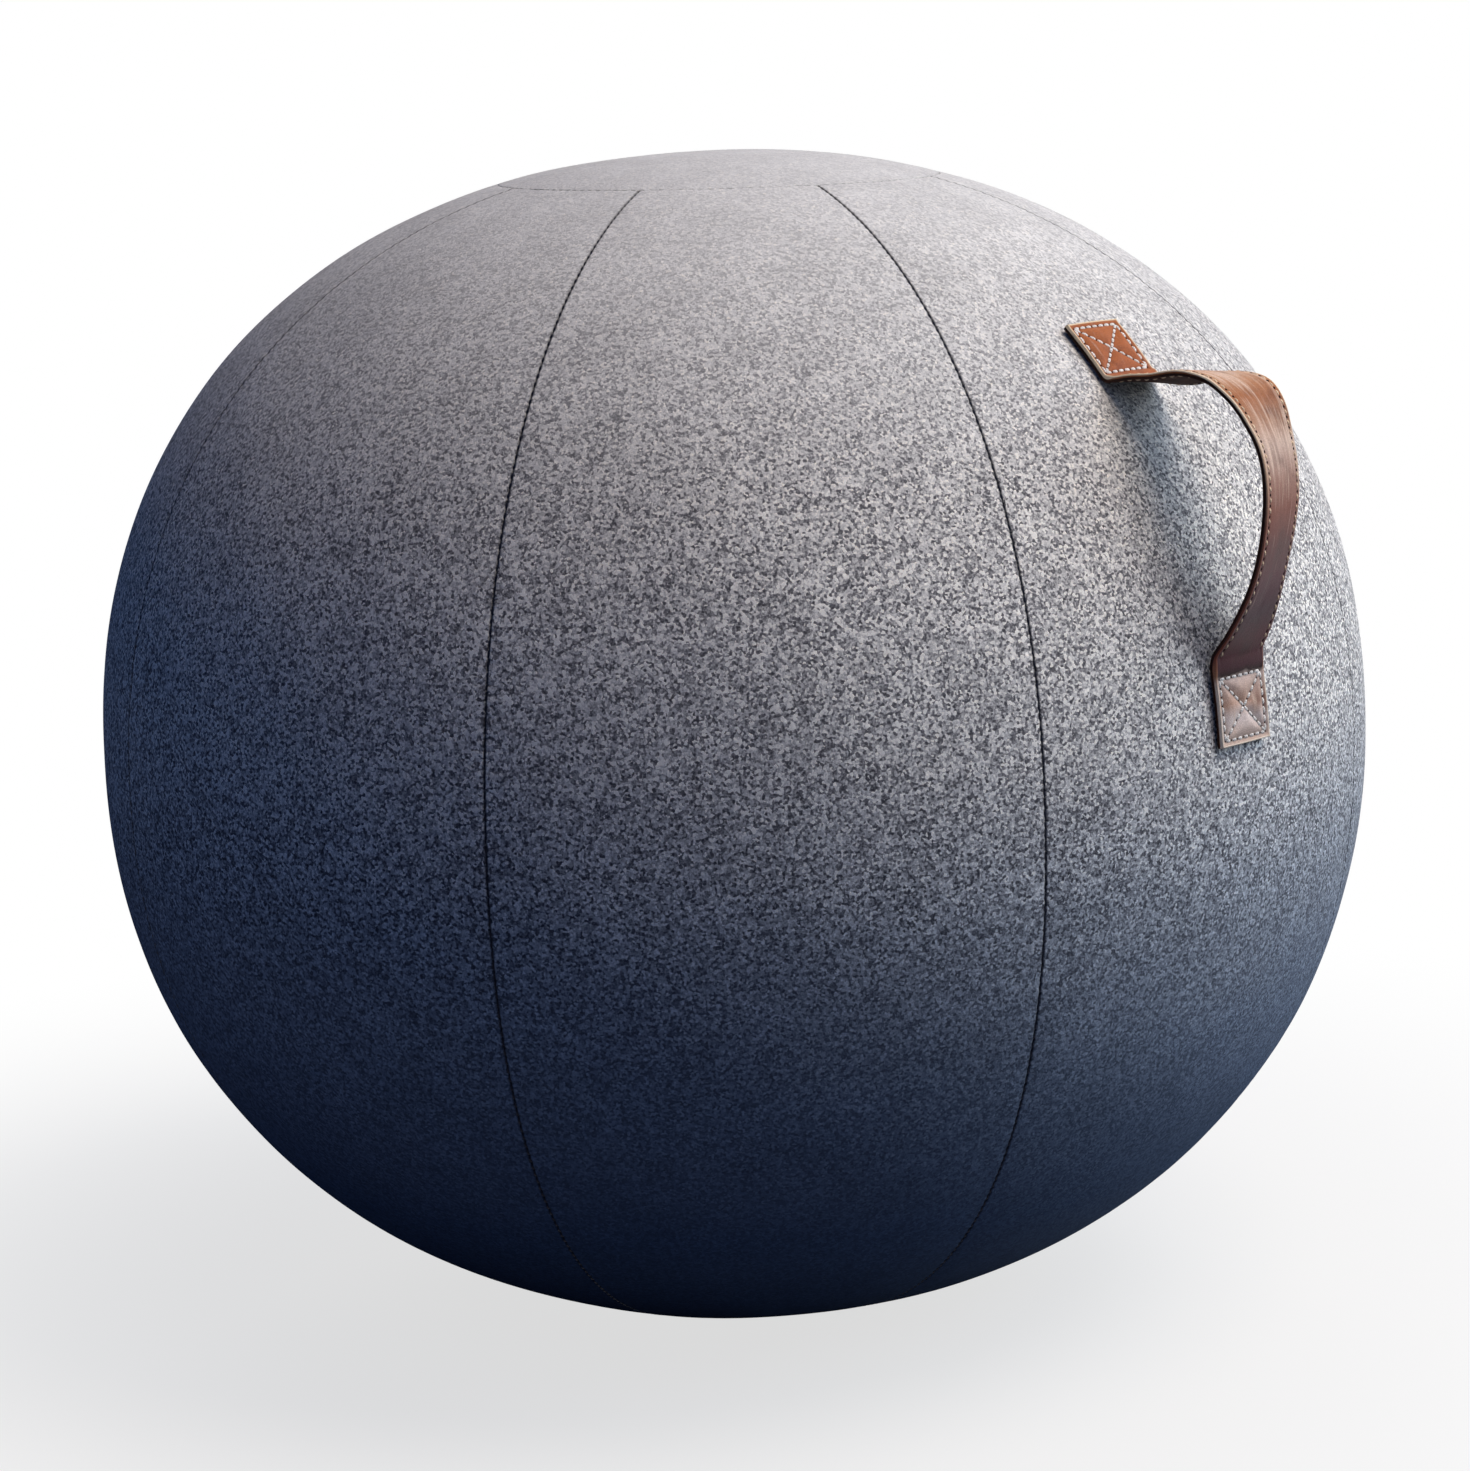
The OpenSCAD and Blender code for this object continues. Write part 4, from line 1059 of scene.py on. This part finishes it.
def vinylFinish(name, colour, roughness, grain, mottle=0.06, powder=0.0):
    # moulded or welded vinyl and plastic: fine grain, faint flow marks, a little dust in patches
    material, tree, shader = newMaterial(name, specular=0.5, coat=0.08, coatRoughness=0.35)
    place = objectPlace(tree)
    fine = noise(tree, place, 1 / grain, 3.0, 0.6).outputs["Fac"]
    flow = noise(tree, stretched(tree, place, (14.0, 14.0, 60.0)), 1.0, 4.0, 0.6, 0.8).outputs["Fac"]
    base = ramp(tree, flow, [(0.3, lit(colour, 1 - 2 * mottle)), (0.5, colour), (0.7, lit(colour, 1 + mottle))])
    if powder:
        dust = rescale(tree, noise(tree, place, 46.0, 5.0, 0.7).outputs["Fac"], 0.45, 0.7, 0.0, powder)
        base = blendColour(tree, dust, base, (0.74, 0.74, 0.72, 1))
    join(tree, base, shader, "Base Color")
    scratched = stretched(tree, place, (60.0, 900.0, 300.0), (0.3, 0.2, 0.7))
    scuffs = noise(tree, scratched, 1.0, 3.0, 0.7).outputs["Fac"]
    join(tree, calc(tree, "ADD", rescale(tree, flow, 0.3, 0.7, roughness - 0.05, roughness + 0.07),
                    rescale(tree, scuffs, 0.55, 0.75, 0.0, 0.12)), shader, "Roughness")
    join(tree, bump(tree, calc(tree, "MULTIPLY_ADD", scuffs, 0.3, fine), 0.05 * mm, 0.5), shader, "Normal")
    return material


def metalFinish(name, colour, roughness):
    # nickel plate, brushed lengthwise, with hairline scratches and dulled patches
    material, tree, shader = newMaterial(name, metallic=1.0)
    place = objectPlace(tree)
    lengthwise = stretched(tree, place, (900.0, 9000.0, 9000.0), (0.0, 0.0, 1.33))
    brushed = noise(tree, lengthwise, 1.0, 3.0, 0.6).outputs["Fac"]
    dull = noise(tree, place, 420.0, 4.0, 0.6).outputs["Fac"]
    hairlines = stretched(tree, place, (5200.0, 300.0, 900.0), (0.4, 0.9, 0.2))
    scratch = rescale(tree, noise(tree, hairlines, 1.0, 2.0, 0.5).outputs["Fac"], 0.62, 0.72, 0.0, 1.0)
    tones = [(0.3, lit(colour, 0.72)), (0.55, colour), (0.75, lit(colour, 1.12))]
    join(tree, ramp(tree, dull, tones), shader, "Base Color")
    rough = rescale(tree, dull, 0.3, 0.7, roughness, roughness + 0.16)
    rough = calc(tree, "ADD", rough, calc(tree, "MULTIPLY", scratch, 0.15))
    join(tree, calc(tree, "MULTIPLY_ADD", brushed, 0.08, rough), shader, "Roughness")
    join(tree, bump(tree, calc(tree, "MULTIPLY_ADD", scratch, -0.5, brushed), 0.02 * mm, 0.5), shader, "Normal")
    return material


feltMaterial = feltFinish("melange felt", feltLook["dyeAndPaintedLight"], feltLook["darkWool"], feltLook["paleWool"])
baseMaterial = feltFinish("base felt", feltLook["baseDye"], feltLook["baseWool"], feltLook["baseWool"])
leatherMaterial = strapLeather("strap leather", leatherLook)
liningMaterial = liningLeather("lining leather")
tapeMaterial = wovenFinish("zip tape", (0.012, 0.016, 0.035), (0.07, 0.085, 0.15), 0.55 * mm, herringbone=1.6 * mm)
backingMaterial = wovenFinish("woven backing", (0.06, 0.065, 0.08), (0.30, 0.31, 0.35), 0.7 * mm)
ballMaterial = vinylFinish("ball vinyl", (0.36, 0.385, 0.42), 0.42, 0.7 * mm, powder=0.12)
toothMaterial = vinylFinish("zip teeth plastic", (0.028, 0.034, 0.06), 0.34, 0.25 * mm, mottle=0.12)
seatMaterial = vinylFinish("valve vinyl", (0.62, 0.65, 0.68), 0.38, 0.3 * mm, powder=0.08)
plugMaterial = vinylFinish("plug plastic", (0.80, 0.80, 0.77), 0.28, 0.22 * mm, mottle=0.03, powder=0.05)
metalMaterial = metalFinish("slider nickel", (0.60, 0.59, 0.57), 0.24)
strapThread = threadFinish("tan thread", (0.92, 0.70, 0.50))
padThread = threadFinish("cream thread", (0.98, 0.95, 0.94))
seamThread = threadFinish("navy thread", (0.010, 0.012, 0.026))
zipThread = threadFinish("zip thread", (0.035, 0.045, 0.085))
leatherHole = holeFinish("needle hole in leather", (0.02, 0.008, 0.008))
feltHole = holeFinish("needle hole in felt", (0.02, 0.024, 0.045))

for number in range(1, ballShape["gores"] + 1):
    settle(goreObject(number), "ball", [f"gore_panel_{number}"])
settle(roundPanel("felt_top", True, feltMaterial), "ball", ["top_panel"])
settle(roundPanel("felt_base", False, baseMaterial), "ball", ["base_panel"])
print("felt cover made")

outerLeather = bandObject("handle_outer_leather", handle["liningThickness"] + handle["glue"], strapThickness,
                          leatherMaterial, handle["outerEdge"], True)
settle(outerLeather, "ball", ["handle_strap"])
innerLeather = bandObject("handle_inner_leather", 0, handle["liningThickness"],
                          liningMaterial, handle["innerEdge"], False)
settle(innerLeather, "ball", ["handle_lining"])
for end, span in (("upper", padSpans[0]), ("lower", padSpans[1])):
    patch = backingObject("handle_backing_patch_" + end, span, backing, backingMaterial)
    settle(patch, "ball", ["handle_backing_" + end])
print("handle made")

settle(tapeObject("zip_tape_cloth_outer", 1), "ball", ["zip_tape_outer"])
settle(tapeObject("zip_tape_cloth_inner", -1), "ball", ["zip_tape_inner"])
vinylBall = settle(innerBallObject(innerBall, ballMaterial), "ball", ["inner_ball"])
for name, material in (("zip_teeth_outer", toothMaterial), ("zip_teeth_inner", toothMaterial),
                       ("zip_stops", toothMaterial), ("zip_slider", metalMaterial), ("zip_pull", metalMaterial),
                       ("valve_seat", seatMaterial), ("valve_plug", plugMaterial)):
    for slot in frame["nodes"][name].material_slots:
        slot.material = material
print("zip and inner ball made")


sewingLook = {
    "sockets": (("Pitch", 4.0), ("Stitch length", 3.2), ("Thread width", 0.8), ("Thread height", 0.6),
                ("Hole width", 1.0)),  # millimetres, where a row gives no other
    "seed": 3,
    "sway": (0.06, 0.05, 0.09),        # radians that a stitch may lie off its line, either way
    "smallest": (0.92, 0.92, 0.92), "largest": (1.06, 1.08, 1.08),
    "dive": 0.55,                      # how far the stitches' ends bend down
}


def sewingTree(look):
    # a stitch on every piece of a resampled line, and a needle hole between two stitches
    tree = bpy.data.node_groups.new("sewing", "GeometryNodeTree")
    face = tree.interface
    face.new_socket("Lines", in_out="INPUT", socket_type="NodeSocketGeometry")
    for key, value in look["sockets"]:
        face.new_socket(key, in_out="INPUT", socket_type="NodeSocketFloat").default_value = value * mm
    face.new_socket("Seed", in_out="INPUT", socket_type="NodeSocketInt").default_value = look["seed"]
    for key in ("Thread", "Hole"):
        face.new_socket(key, in_out="INPUT", socket_type="NodeSocketMaterial")
    face.new_socket("Sewing", in_out="OUTPUT", socket_type="NodeSocketGeometry")
    given = put(tree, "NodeGroupInput").outputs

    def stored(geometry, name, value):
        node = put(tree, "GeometryNodeStoreNamedAttribute", {"Geometry": geometry, "Name": name},
                   data_type="FLOAT_VECTOR", domain="POINT")
        tree.links.new(value, node.inputs["Value"])
        return node.outputs[0]

    def read(name):
        return put(tree, "GeometryNodeInputNamedAttribute", {"Name": name}, data_type="FLOAT_VECTOR").outputs[0]

    def between(low, high):
        node = put(tree, "FunctionNodeRandomValue", {"Seed": given["Seed"]}, data_type="FLOAT_VECTOR")
        node.inputs[0].default_value, node.inputs[1].default_value = low, high
        return node.outputs[0]

    curve = put(tree, "GeometryNodeMeshToCurve", {"Mesh": given["Lines"]}).outputs[0]
    even = put(tree, "GeometryNodeResampleCurve", {"Curve": curve, "Length": given["Pitch"]},
               mode="LENGTH").outputs[0]
    kept = stored(even, "run", put(tree, "GeometryNodeInputTangent").outputs[0])
    wire = put(tree, "GeometryNodeCurveToMesh", {"Curve": kept}).outputs[0]
    turn = put(tree, "FunctionNodeAxesToRotation", {"Primary Axis": read("up"), "Secondary Axis": read("run")},
               primary_axis="Z", secondary_axis="X").outputs[0]
    sway = between(tuple(-angle for angle in look["sway"]), look["sway"])
    sway = put(tree, "FunctionNodeEulerToRotation", {0: sway}).outputs[0]
    swayed = put(tree, "FunctionNodeRotateRotation", {"Rotation": turn, "Rotate By": sway},
                 rotation_space="LOCAL").outputs[0]
    size = between(look["smallest"], look["largest"])

    def bead(segments, rings, length, width, height, dive):
        # a flattened round whose ends bend down to the needle holes
        ball = put(tree, "GeometryNodeMeshUVSphere",
                   {"Segments": segments, "Rings": rings, "Radius": 0.5}).outputs["Mesh"]
        upright = put(tree, "GeometryNodeTransform",
                      {"Geometry": ball, "Rotation": (0.0, math.pi / 2, 0.0)}).outputs[0]
        spot = put(tree, "GeometryNodeInputPosition").outputs[0]
        marked = stored(upright, "stitchPlace", spot)
        part = put(tree, "ShaderNodeSeparateXYZ", {0: spot}).outputs
        fromMiddle = calc(tree, "ABSOLUTE", calc(tree, "MULTIPLY", part[0], 2.0))
        sink = calc(tree, "MULTIPLY", calc(tree, "POWER", fromMiddle, 3.0), -dive)
        shaped = put(tree, "ShaderNodeCombineXYZ", {
            0: calc(tree, "MULTIPLY", part[0], length), 1: calc(tree, "MULTIPLY", part[1], width),
            2: calc(tree, "MULTIPLY", calc(tree, "ADD", part[2], sink), height)}).outputs[0]
        placed = put(tree, "GeometryNodeSetPosition", {"Geometry": marked, "Position": shaped}).outputs[0]
        return put(tree, "GeometryNodeSetShadeSmooth", {"Geometry": placed}).outputs[0]

    thread = bead(8, 7, given["Stitch length"], given["Thread width"], given["Thread height"], look["dive"])
    holeHeight = calc(tree, "MULTIPLY", given["Thread height"], 0.35)
    hole = bead(8, 4, given["Hole width"], given["Hole width"], holeHeight, 0.0)
    joined = put(tree, "GeometryNodeJoinGeometry")
    for mode, shape, rotation, scale, key in (("EDGES", thread, swayed, size, "Thread"),
                                              ("VERTICES", hole, turn, (1.0, 1.0, 1.0), "Hole")):
        spots = put(tree, "GeometryNodeMeshToPoints", {"Mesh": wire}, mode=mode).outputs[0]
        laid = put(tree, "GeometryNodeInstanceOnPoints",
                   {"Points": spots, "Instance": shape, "Rotation": rotation, "Scale": scale}).outputs[0]
        real = put(tree, "GeometryNodeRealizeInstances", {"Geometry": laid}).outputs[0]
        finished = put(tree, "GeometryNodeSetMaterial", {"Geometry": real, "Material": given[key]}).outputs[0]
        tree.links.new(finished, joined.inputs[0])
    put(tree, "NodeGroupOutput", {"Sewing": joined.outputs[0]})
    return tree


sewing = sewingTree(sewingLook)
stitching = {
    "strap_stitches": {"Pitch": 4.8 * mm, "Stitch length": 3.1 * mm, "Thread width": 1.5 * mm,
                       "Thread height": 1.0 * mm, "Hole width": 1.4 * mm,
                       "Thread": strapThread, "Hole": leatherHole},
    "pad_stitches": {"Pitch": 4.0 * mm, "Stitch length": 4.1 * mm, "Thread width": 1.7 * mm,
                     "Thread height": 1.0 * mm, "Hole width": 0.9 * mm,
                     "Thread": padThread, "Hole": leatherHole, "Seed": 5},
    "seam_stitches": {"Pitch": felt["puckerPitch"], "Stitch length": 3.9 * mm, "Thread width": 1.5 * mm,
                      "Thread height": 0.9 * mm, "Hole width": 0.5 * mm,
                      "Thread": seamThread, "Hole": feltHole, "Seed": 8},
    "zip_stitches": {"Pitch": 3.4 * mm, "Stitch length": 2.9 * mm, "Thread width": 0.7 * mm,
                     "Thread height": 0.5 * mm, "Hole width": 0.7 * mm,
                     "Thread": zipThread, "Hole": feltHole, "Seed": 11},
}


def sew(name, lines, body):
    # lines are pairs of points and outward directions; the row's settings go to the tree's named inputs
    settings = stitching[name]
    verts, ups, edges = [], [], []
    for points, outward in lines:
        first = len(verts)
        verts += np.asarray(points).tolist()
        ups += np.asarray(outward).tolist()
        edges += [(first + k, first + k + 1) for k in range(len(points) - 1)]
    mesh = bpy.data.meshes.new(name + "_lines")
    mesh.from_pydata(verts, edges, [])
    up = mesh.attributes.new("up", "FLOAT_VECTOR", "POINT")
    up.data.foreach_set("vector", np.asarray(ups, np.float32).ravel())
    draft = bpy.data.objects.new(name + "_lines", mesh)
    bpy.context.scene.collection.objects.link(draft)
    modifier = draft.modifiers.new("sewing", "NODES")
    modifier.node_group = sewing
    for item in sewing.interface.items_tree:
        if item.item_type == "SOCKET" and item.in_out == "INPUT" and item.name in settings:
            modifier[item.identifier] = settings[item.name]
    bpy.context.view_layer.update()
    made = bpy.data.meshes.new_from_object(draft.evaluated_get(bpy.context.evaluated_depsgraph_get()))
    bpy.data.objects.remove(draft)
    made.name = name
    piece = bpy.data.objects.new(name, made)
    bpy.context.scene.collection.objects.link(piece)
    return settle(piece, body)


def strapRow(places, y, height, below=False):
    y = y + strapWander(places)
    points = strapSurface(places, y, height)
    outward = strapSurface(places, y, height + 1 * mm) - points
    outward /= np.linalg.norm(outward, axis=1)[:, None]
    return points, -outward if below else outward


archPlaces = np.arange(handle["headPad"] + 4 * mm, strapLength - handle["heelPad"] - 3 * mm, 1.0 * mm)
rowY = handle["width"] / 2 - handle["rowInset"]
strapRows = [strapRow(archPlaces, side * rowY, strapThickness + 0.02 * mm) for side in (-1, 1)]
strapRows += [strapRow(archPlaces, side * rowY, 0.1 * mm, below=True) for side in (-1, 1)]
sew("strap_stitches", strapRows, "ball")

padRows = []
share = np.linspace(0, 1, 40)
for span in padSpans:
    for (p0, y0), (p1, y1) in padLines(*span):
        padRows.append(strapRow(p0 + (p1 - p0) * share, y0 + (y1 - y0) * share, strapThickness - 0.15 * mm))
sew("pad_stitches", padRows, "ball")


def ballLine(s, theta, depth):
    # points on the ball and their outward directions
    s, theta = np.broadcast_arrays(np.asarray(s, float), np.asarray(theta, float))
    points, higher = onBall(s, theta, depth), onBall(s, theta, depth - 1 * mm)
    return points, (higher - points) / (1 * mm)


seamSewing = {
    "fromTop": 3 * mm, "fromBase": 1 * mm, "fromZip": 7 * mm,  # where the seams' stitches stop
    "depth": 0.98 * mm, "topDepth": 0.6 * mm, "fade": 60 * mm,  # deeper at the top, and over how long that fades
}
seamRows = []
for k in range(ballShape["gores"]):
    theta = (k + 0.5) * goreAngle
    zipped = felt["zipStart"] - 0.01 < theta < felt["zipStart"] + felt["zipArc"] + 0.01
    end = sAtBase(ballShape["panelRadius"] + seamSewing["fromZip" if zipped else "fromBase"])
    s = np.arange(sAtTop(ballShape["panelRadius"]) + seamSewing["fromTop"], end, 2 * mm)
    depth = seamSewing["depth"] + seamSewing["topDepth"] * np.exp(-(s - s[0]) / seamSewing["fade"])
    seamRows.append(ballLine(s, theta, depth))
sew("seam_stitches", seamRows, "ball")


def onPiece(piece, points, outward, lift):
    # drops each point onto a piece, along its outward direction
    mesh = piece.data
    surface = BVHTree.FromPolygons([v.co for v in mesh.vertices], [p.vertices[:] for p in mesh.polygons])
    laid = []
    for point, up in zip(points, outward):
        hit = surface.ray_cast(Vector(point) + 8 * mm * Vector(up), -Vector(up), 16 * mm)[0]
        laid.append((hit if hit else Vector(point)) + lift * Vector(up))
    return np.array([p[:] for p in laid]), outward


zipRows = []
zipEnds = felt["zipStart"], felt["zipStart"] + felt["zipArc"]
arcStep = 1.5 * mm / zipper["radius"]
s = sAtBase(zipper["radius"] + felt["goreEdge"] * math.cos(felt["zipTilt"])) - felt["zipRow"]
for number in range(3, 8):
    edges = (number - 1) * goreAngle + np.array([-0.5, 0.5]) * goreAngle
    edges = np.clip(edges, *zipEnds) + np.array([1, -1]) * 0.02
    line = ballLine(s, np.arange(edges[0], edges[1], arcStep), 0.0)
    zipRows.append(onPiece(bpy.data.objects[f"felt_gore_{number}"], *line, 0.1 * mm))
s = sAtBase(zipper["radius"] - felt["zipEdge"] * math.cos(felt["zipTilt"])) + felt["zipRow"]
line = ballLine(s, np.arange(zipEnds[0] + 0.04, zipEnds[1] - 0.04, arcStep), 0.0)
zipRows.append(onPiece(bpy.data.objects["felt_base"], *line, 0.1 * mm))
sew("zip_stitches", zipRows, "ball")
print("sewing made")

# Lights: degrees round the ball from +X, degrees up, distance, half of the width it fills in degrees,
# level (1 shows a colour as it is written) and colour
lamps = {
    "high": (20, 60, 2.4, 19, 0.68, (1.0, 0.85, 0.68)),
    "right": (40, 35, 2.4, 26, 0.52, (0.72, 0.84, 1.0)),
    "low": (46, 6, 2.4, 24, 0.22, (0.95, 1.0, 0.85)),
    "behind": (137, 14, 2.6, 14, 0.3, (1.0, 0.96, 0.9)),
}
ambient = (0.032, 0.06, 0.14)


def addLamp(name, turn, rise, distance, halfAngle, level, colour):
    data = bpy.data.lights.new(name, "AREA")
    data.shape, data.size = "DISK", 2 * distance * math.tan(math.radians(halfAngle))
    data.energy, data.color = level * (math.pi * distance) ** 2, colour
    lamp = bpy.data.objects.new(name, data)
    bpy.context.scene.collection.objects.link(lamp)
    turn, rise = math.radians(turn), math.radians(rise)
    away = Vector((math.cos(rise) * math.cos(turn), math.cos(rise) * math.sin(turn), math.sin(rise)))
    lamp.location = Vector((0, 0, midHeight)) + away * distance
    lamp.rotation_euler = (-away).to_track_quat("-Z", "Y").to_euler()
    lamp.visible_camera = False


for name, settings in lamps.items():
    addLamp(name, *settings)


def seenDirectly(tree):
    # 1 for rays from the camera, and for those that a shiny or clear surface sends on
    path = put(tree, "ShaderNodeLightPath")
    seen = calc(tree, "MAXIMUM", path.outputs["Is Camera Ray"], path.outputs["Is Glossy Ray"])
    return calc(tree, "MAXIMUM", seen, path.outputs["Is Transmission Ray"])


world = bpy.data.worlds.new("world")
bpy.context.scene.world = world
world.use_nodes = True
sky = world.node_tree
join(sky, blendColour(sky, seenDirectly(sky), ambient + (1,), (1, 1, 1, 1)), sky.nodes["Background"], "Color")


floorLook = {
    "reach": 30,                          # half of its width
    "shadow": 0.3,                        # share of the shaded floor in what the camera sees, under the ball
    "shadowStart": 0.25, "shadowEnd": 0.8,  # distances from the middle over which that fades
    "colour": (0.8, 0.8, 0.8), "bounce": (0.10, 0.11, 0.13),
}


def floorFinish(look):
    # white to the camera but for the soft shadow near the ball, and dark to the light that bounces
    material, tree, shader = newMaterial("floor", roughness=1.0, specular=0.0)
    away = put(tree, "ShaderNodeVectorMath", {0: objectPlace(tree)}, operation="LENGTH").outputs["Value"]
    share = rescale(tree, away, look["shadowStart"], look["shadowEnd"], look["shadow"], 0.0, "SMOOTHSTEP")
    shader.inputs["Base Color"].default_value = look["colour"] + (1,)
    white = put(tree, "ShaderNodeEmission", {"Color": (1, 1, 1, 1), "Strength": 1.0})
    dark = put(tree, "ShaderNodeBsdfDiffuse", {"Color": look["bounce"] + (1,)})
    shown = put(tree, "ShaderNodeMixShader", {0: share, 1: white.outputs[0], 2: shader.outputs[0]})
    both = put(tree, "ShaderNodeMixShader", {0: seenDirectly(tree), 1: dark.outputs[0], 2: shown.outputs[0]})
    tree.links.new(both.outputs[0], tree.nodes["Material Output"].inputs["Surface"])
    return material


w = floorLook["reach"]
floor = makeObject("floor", [(-w, -w, 0), (w, -w, 0), (w, w, 0), (-w, w, 0)], [[0, 1, 2, 3]],
                   floorFinish(floorLook), smooth=False, recalc=False)
bpy.context.scene.view_settings.view_transform = "Standard"
print("lights and floor made")

bpy.context.view_layer.update()
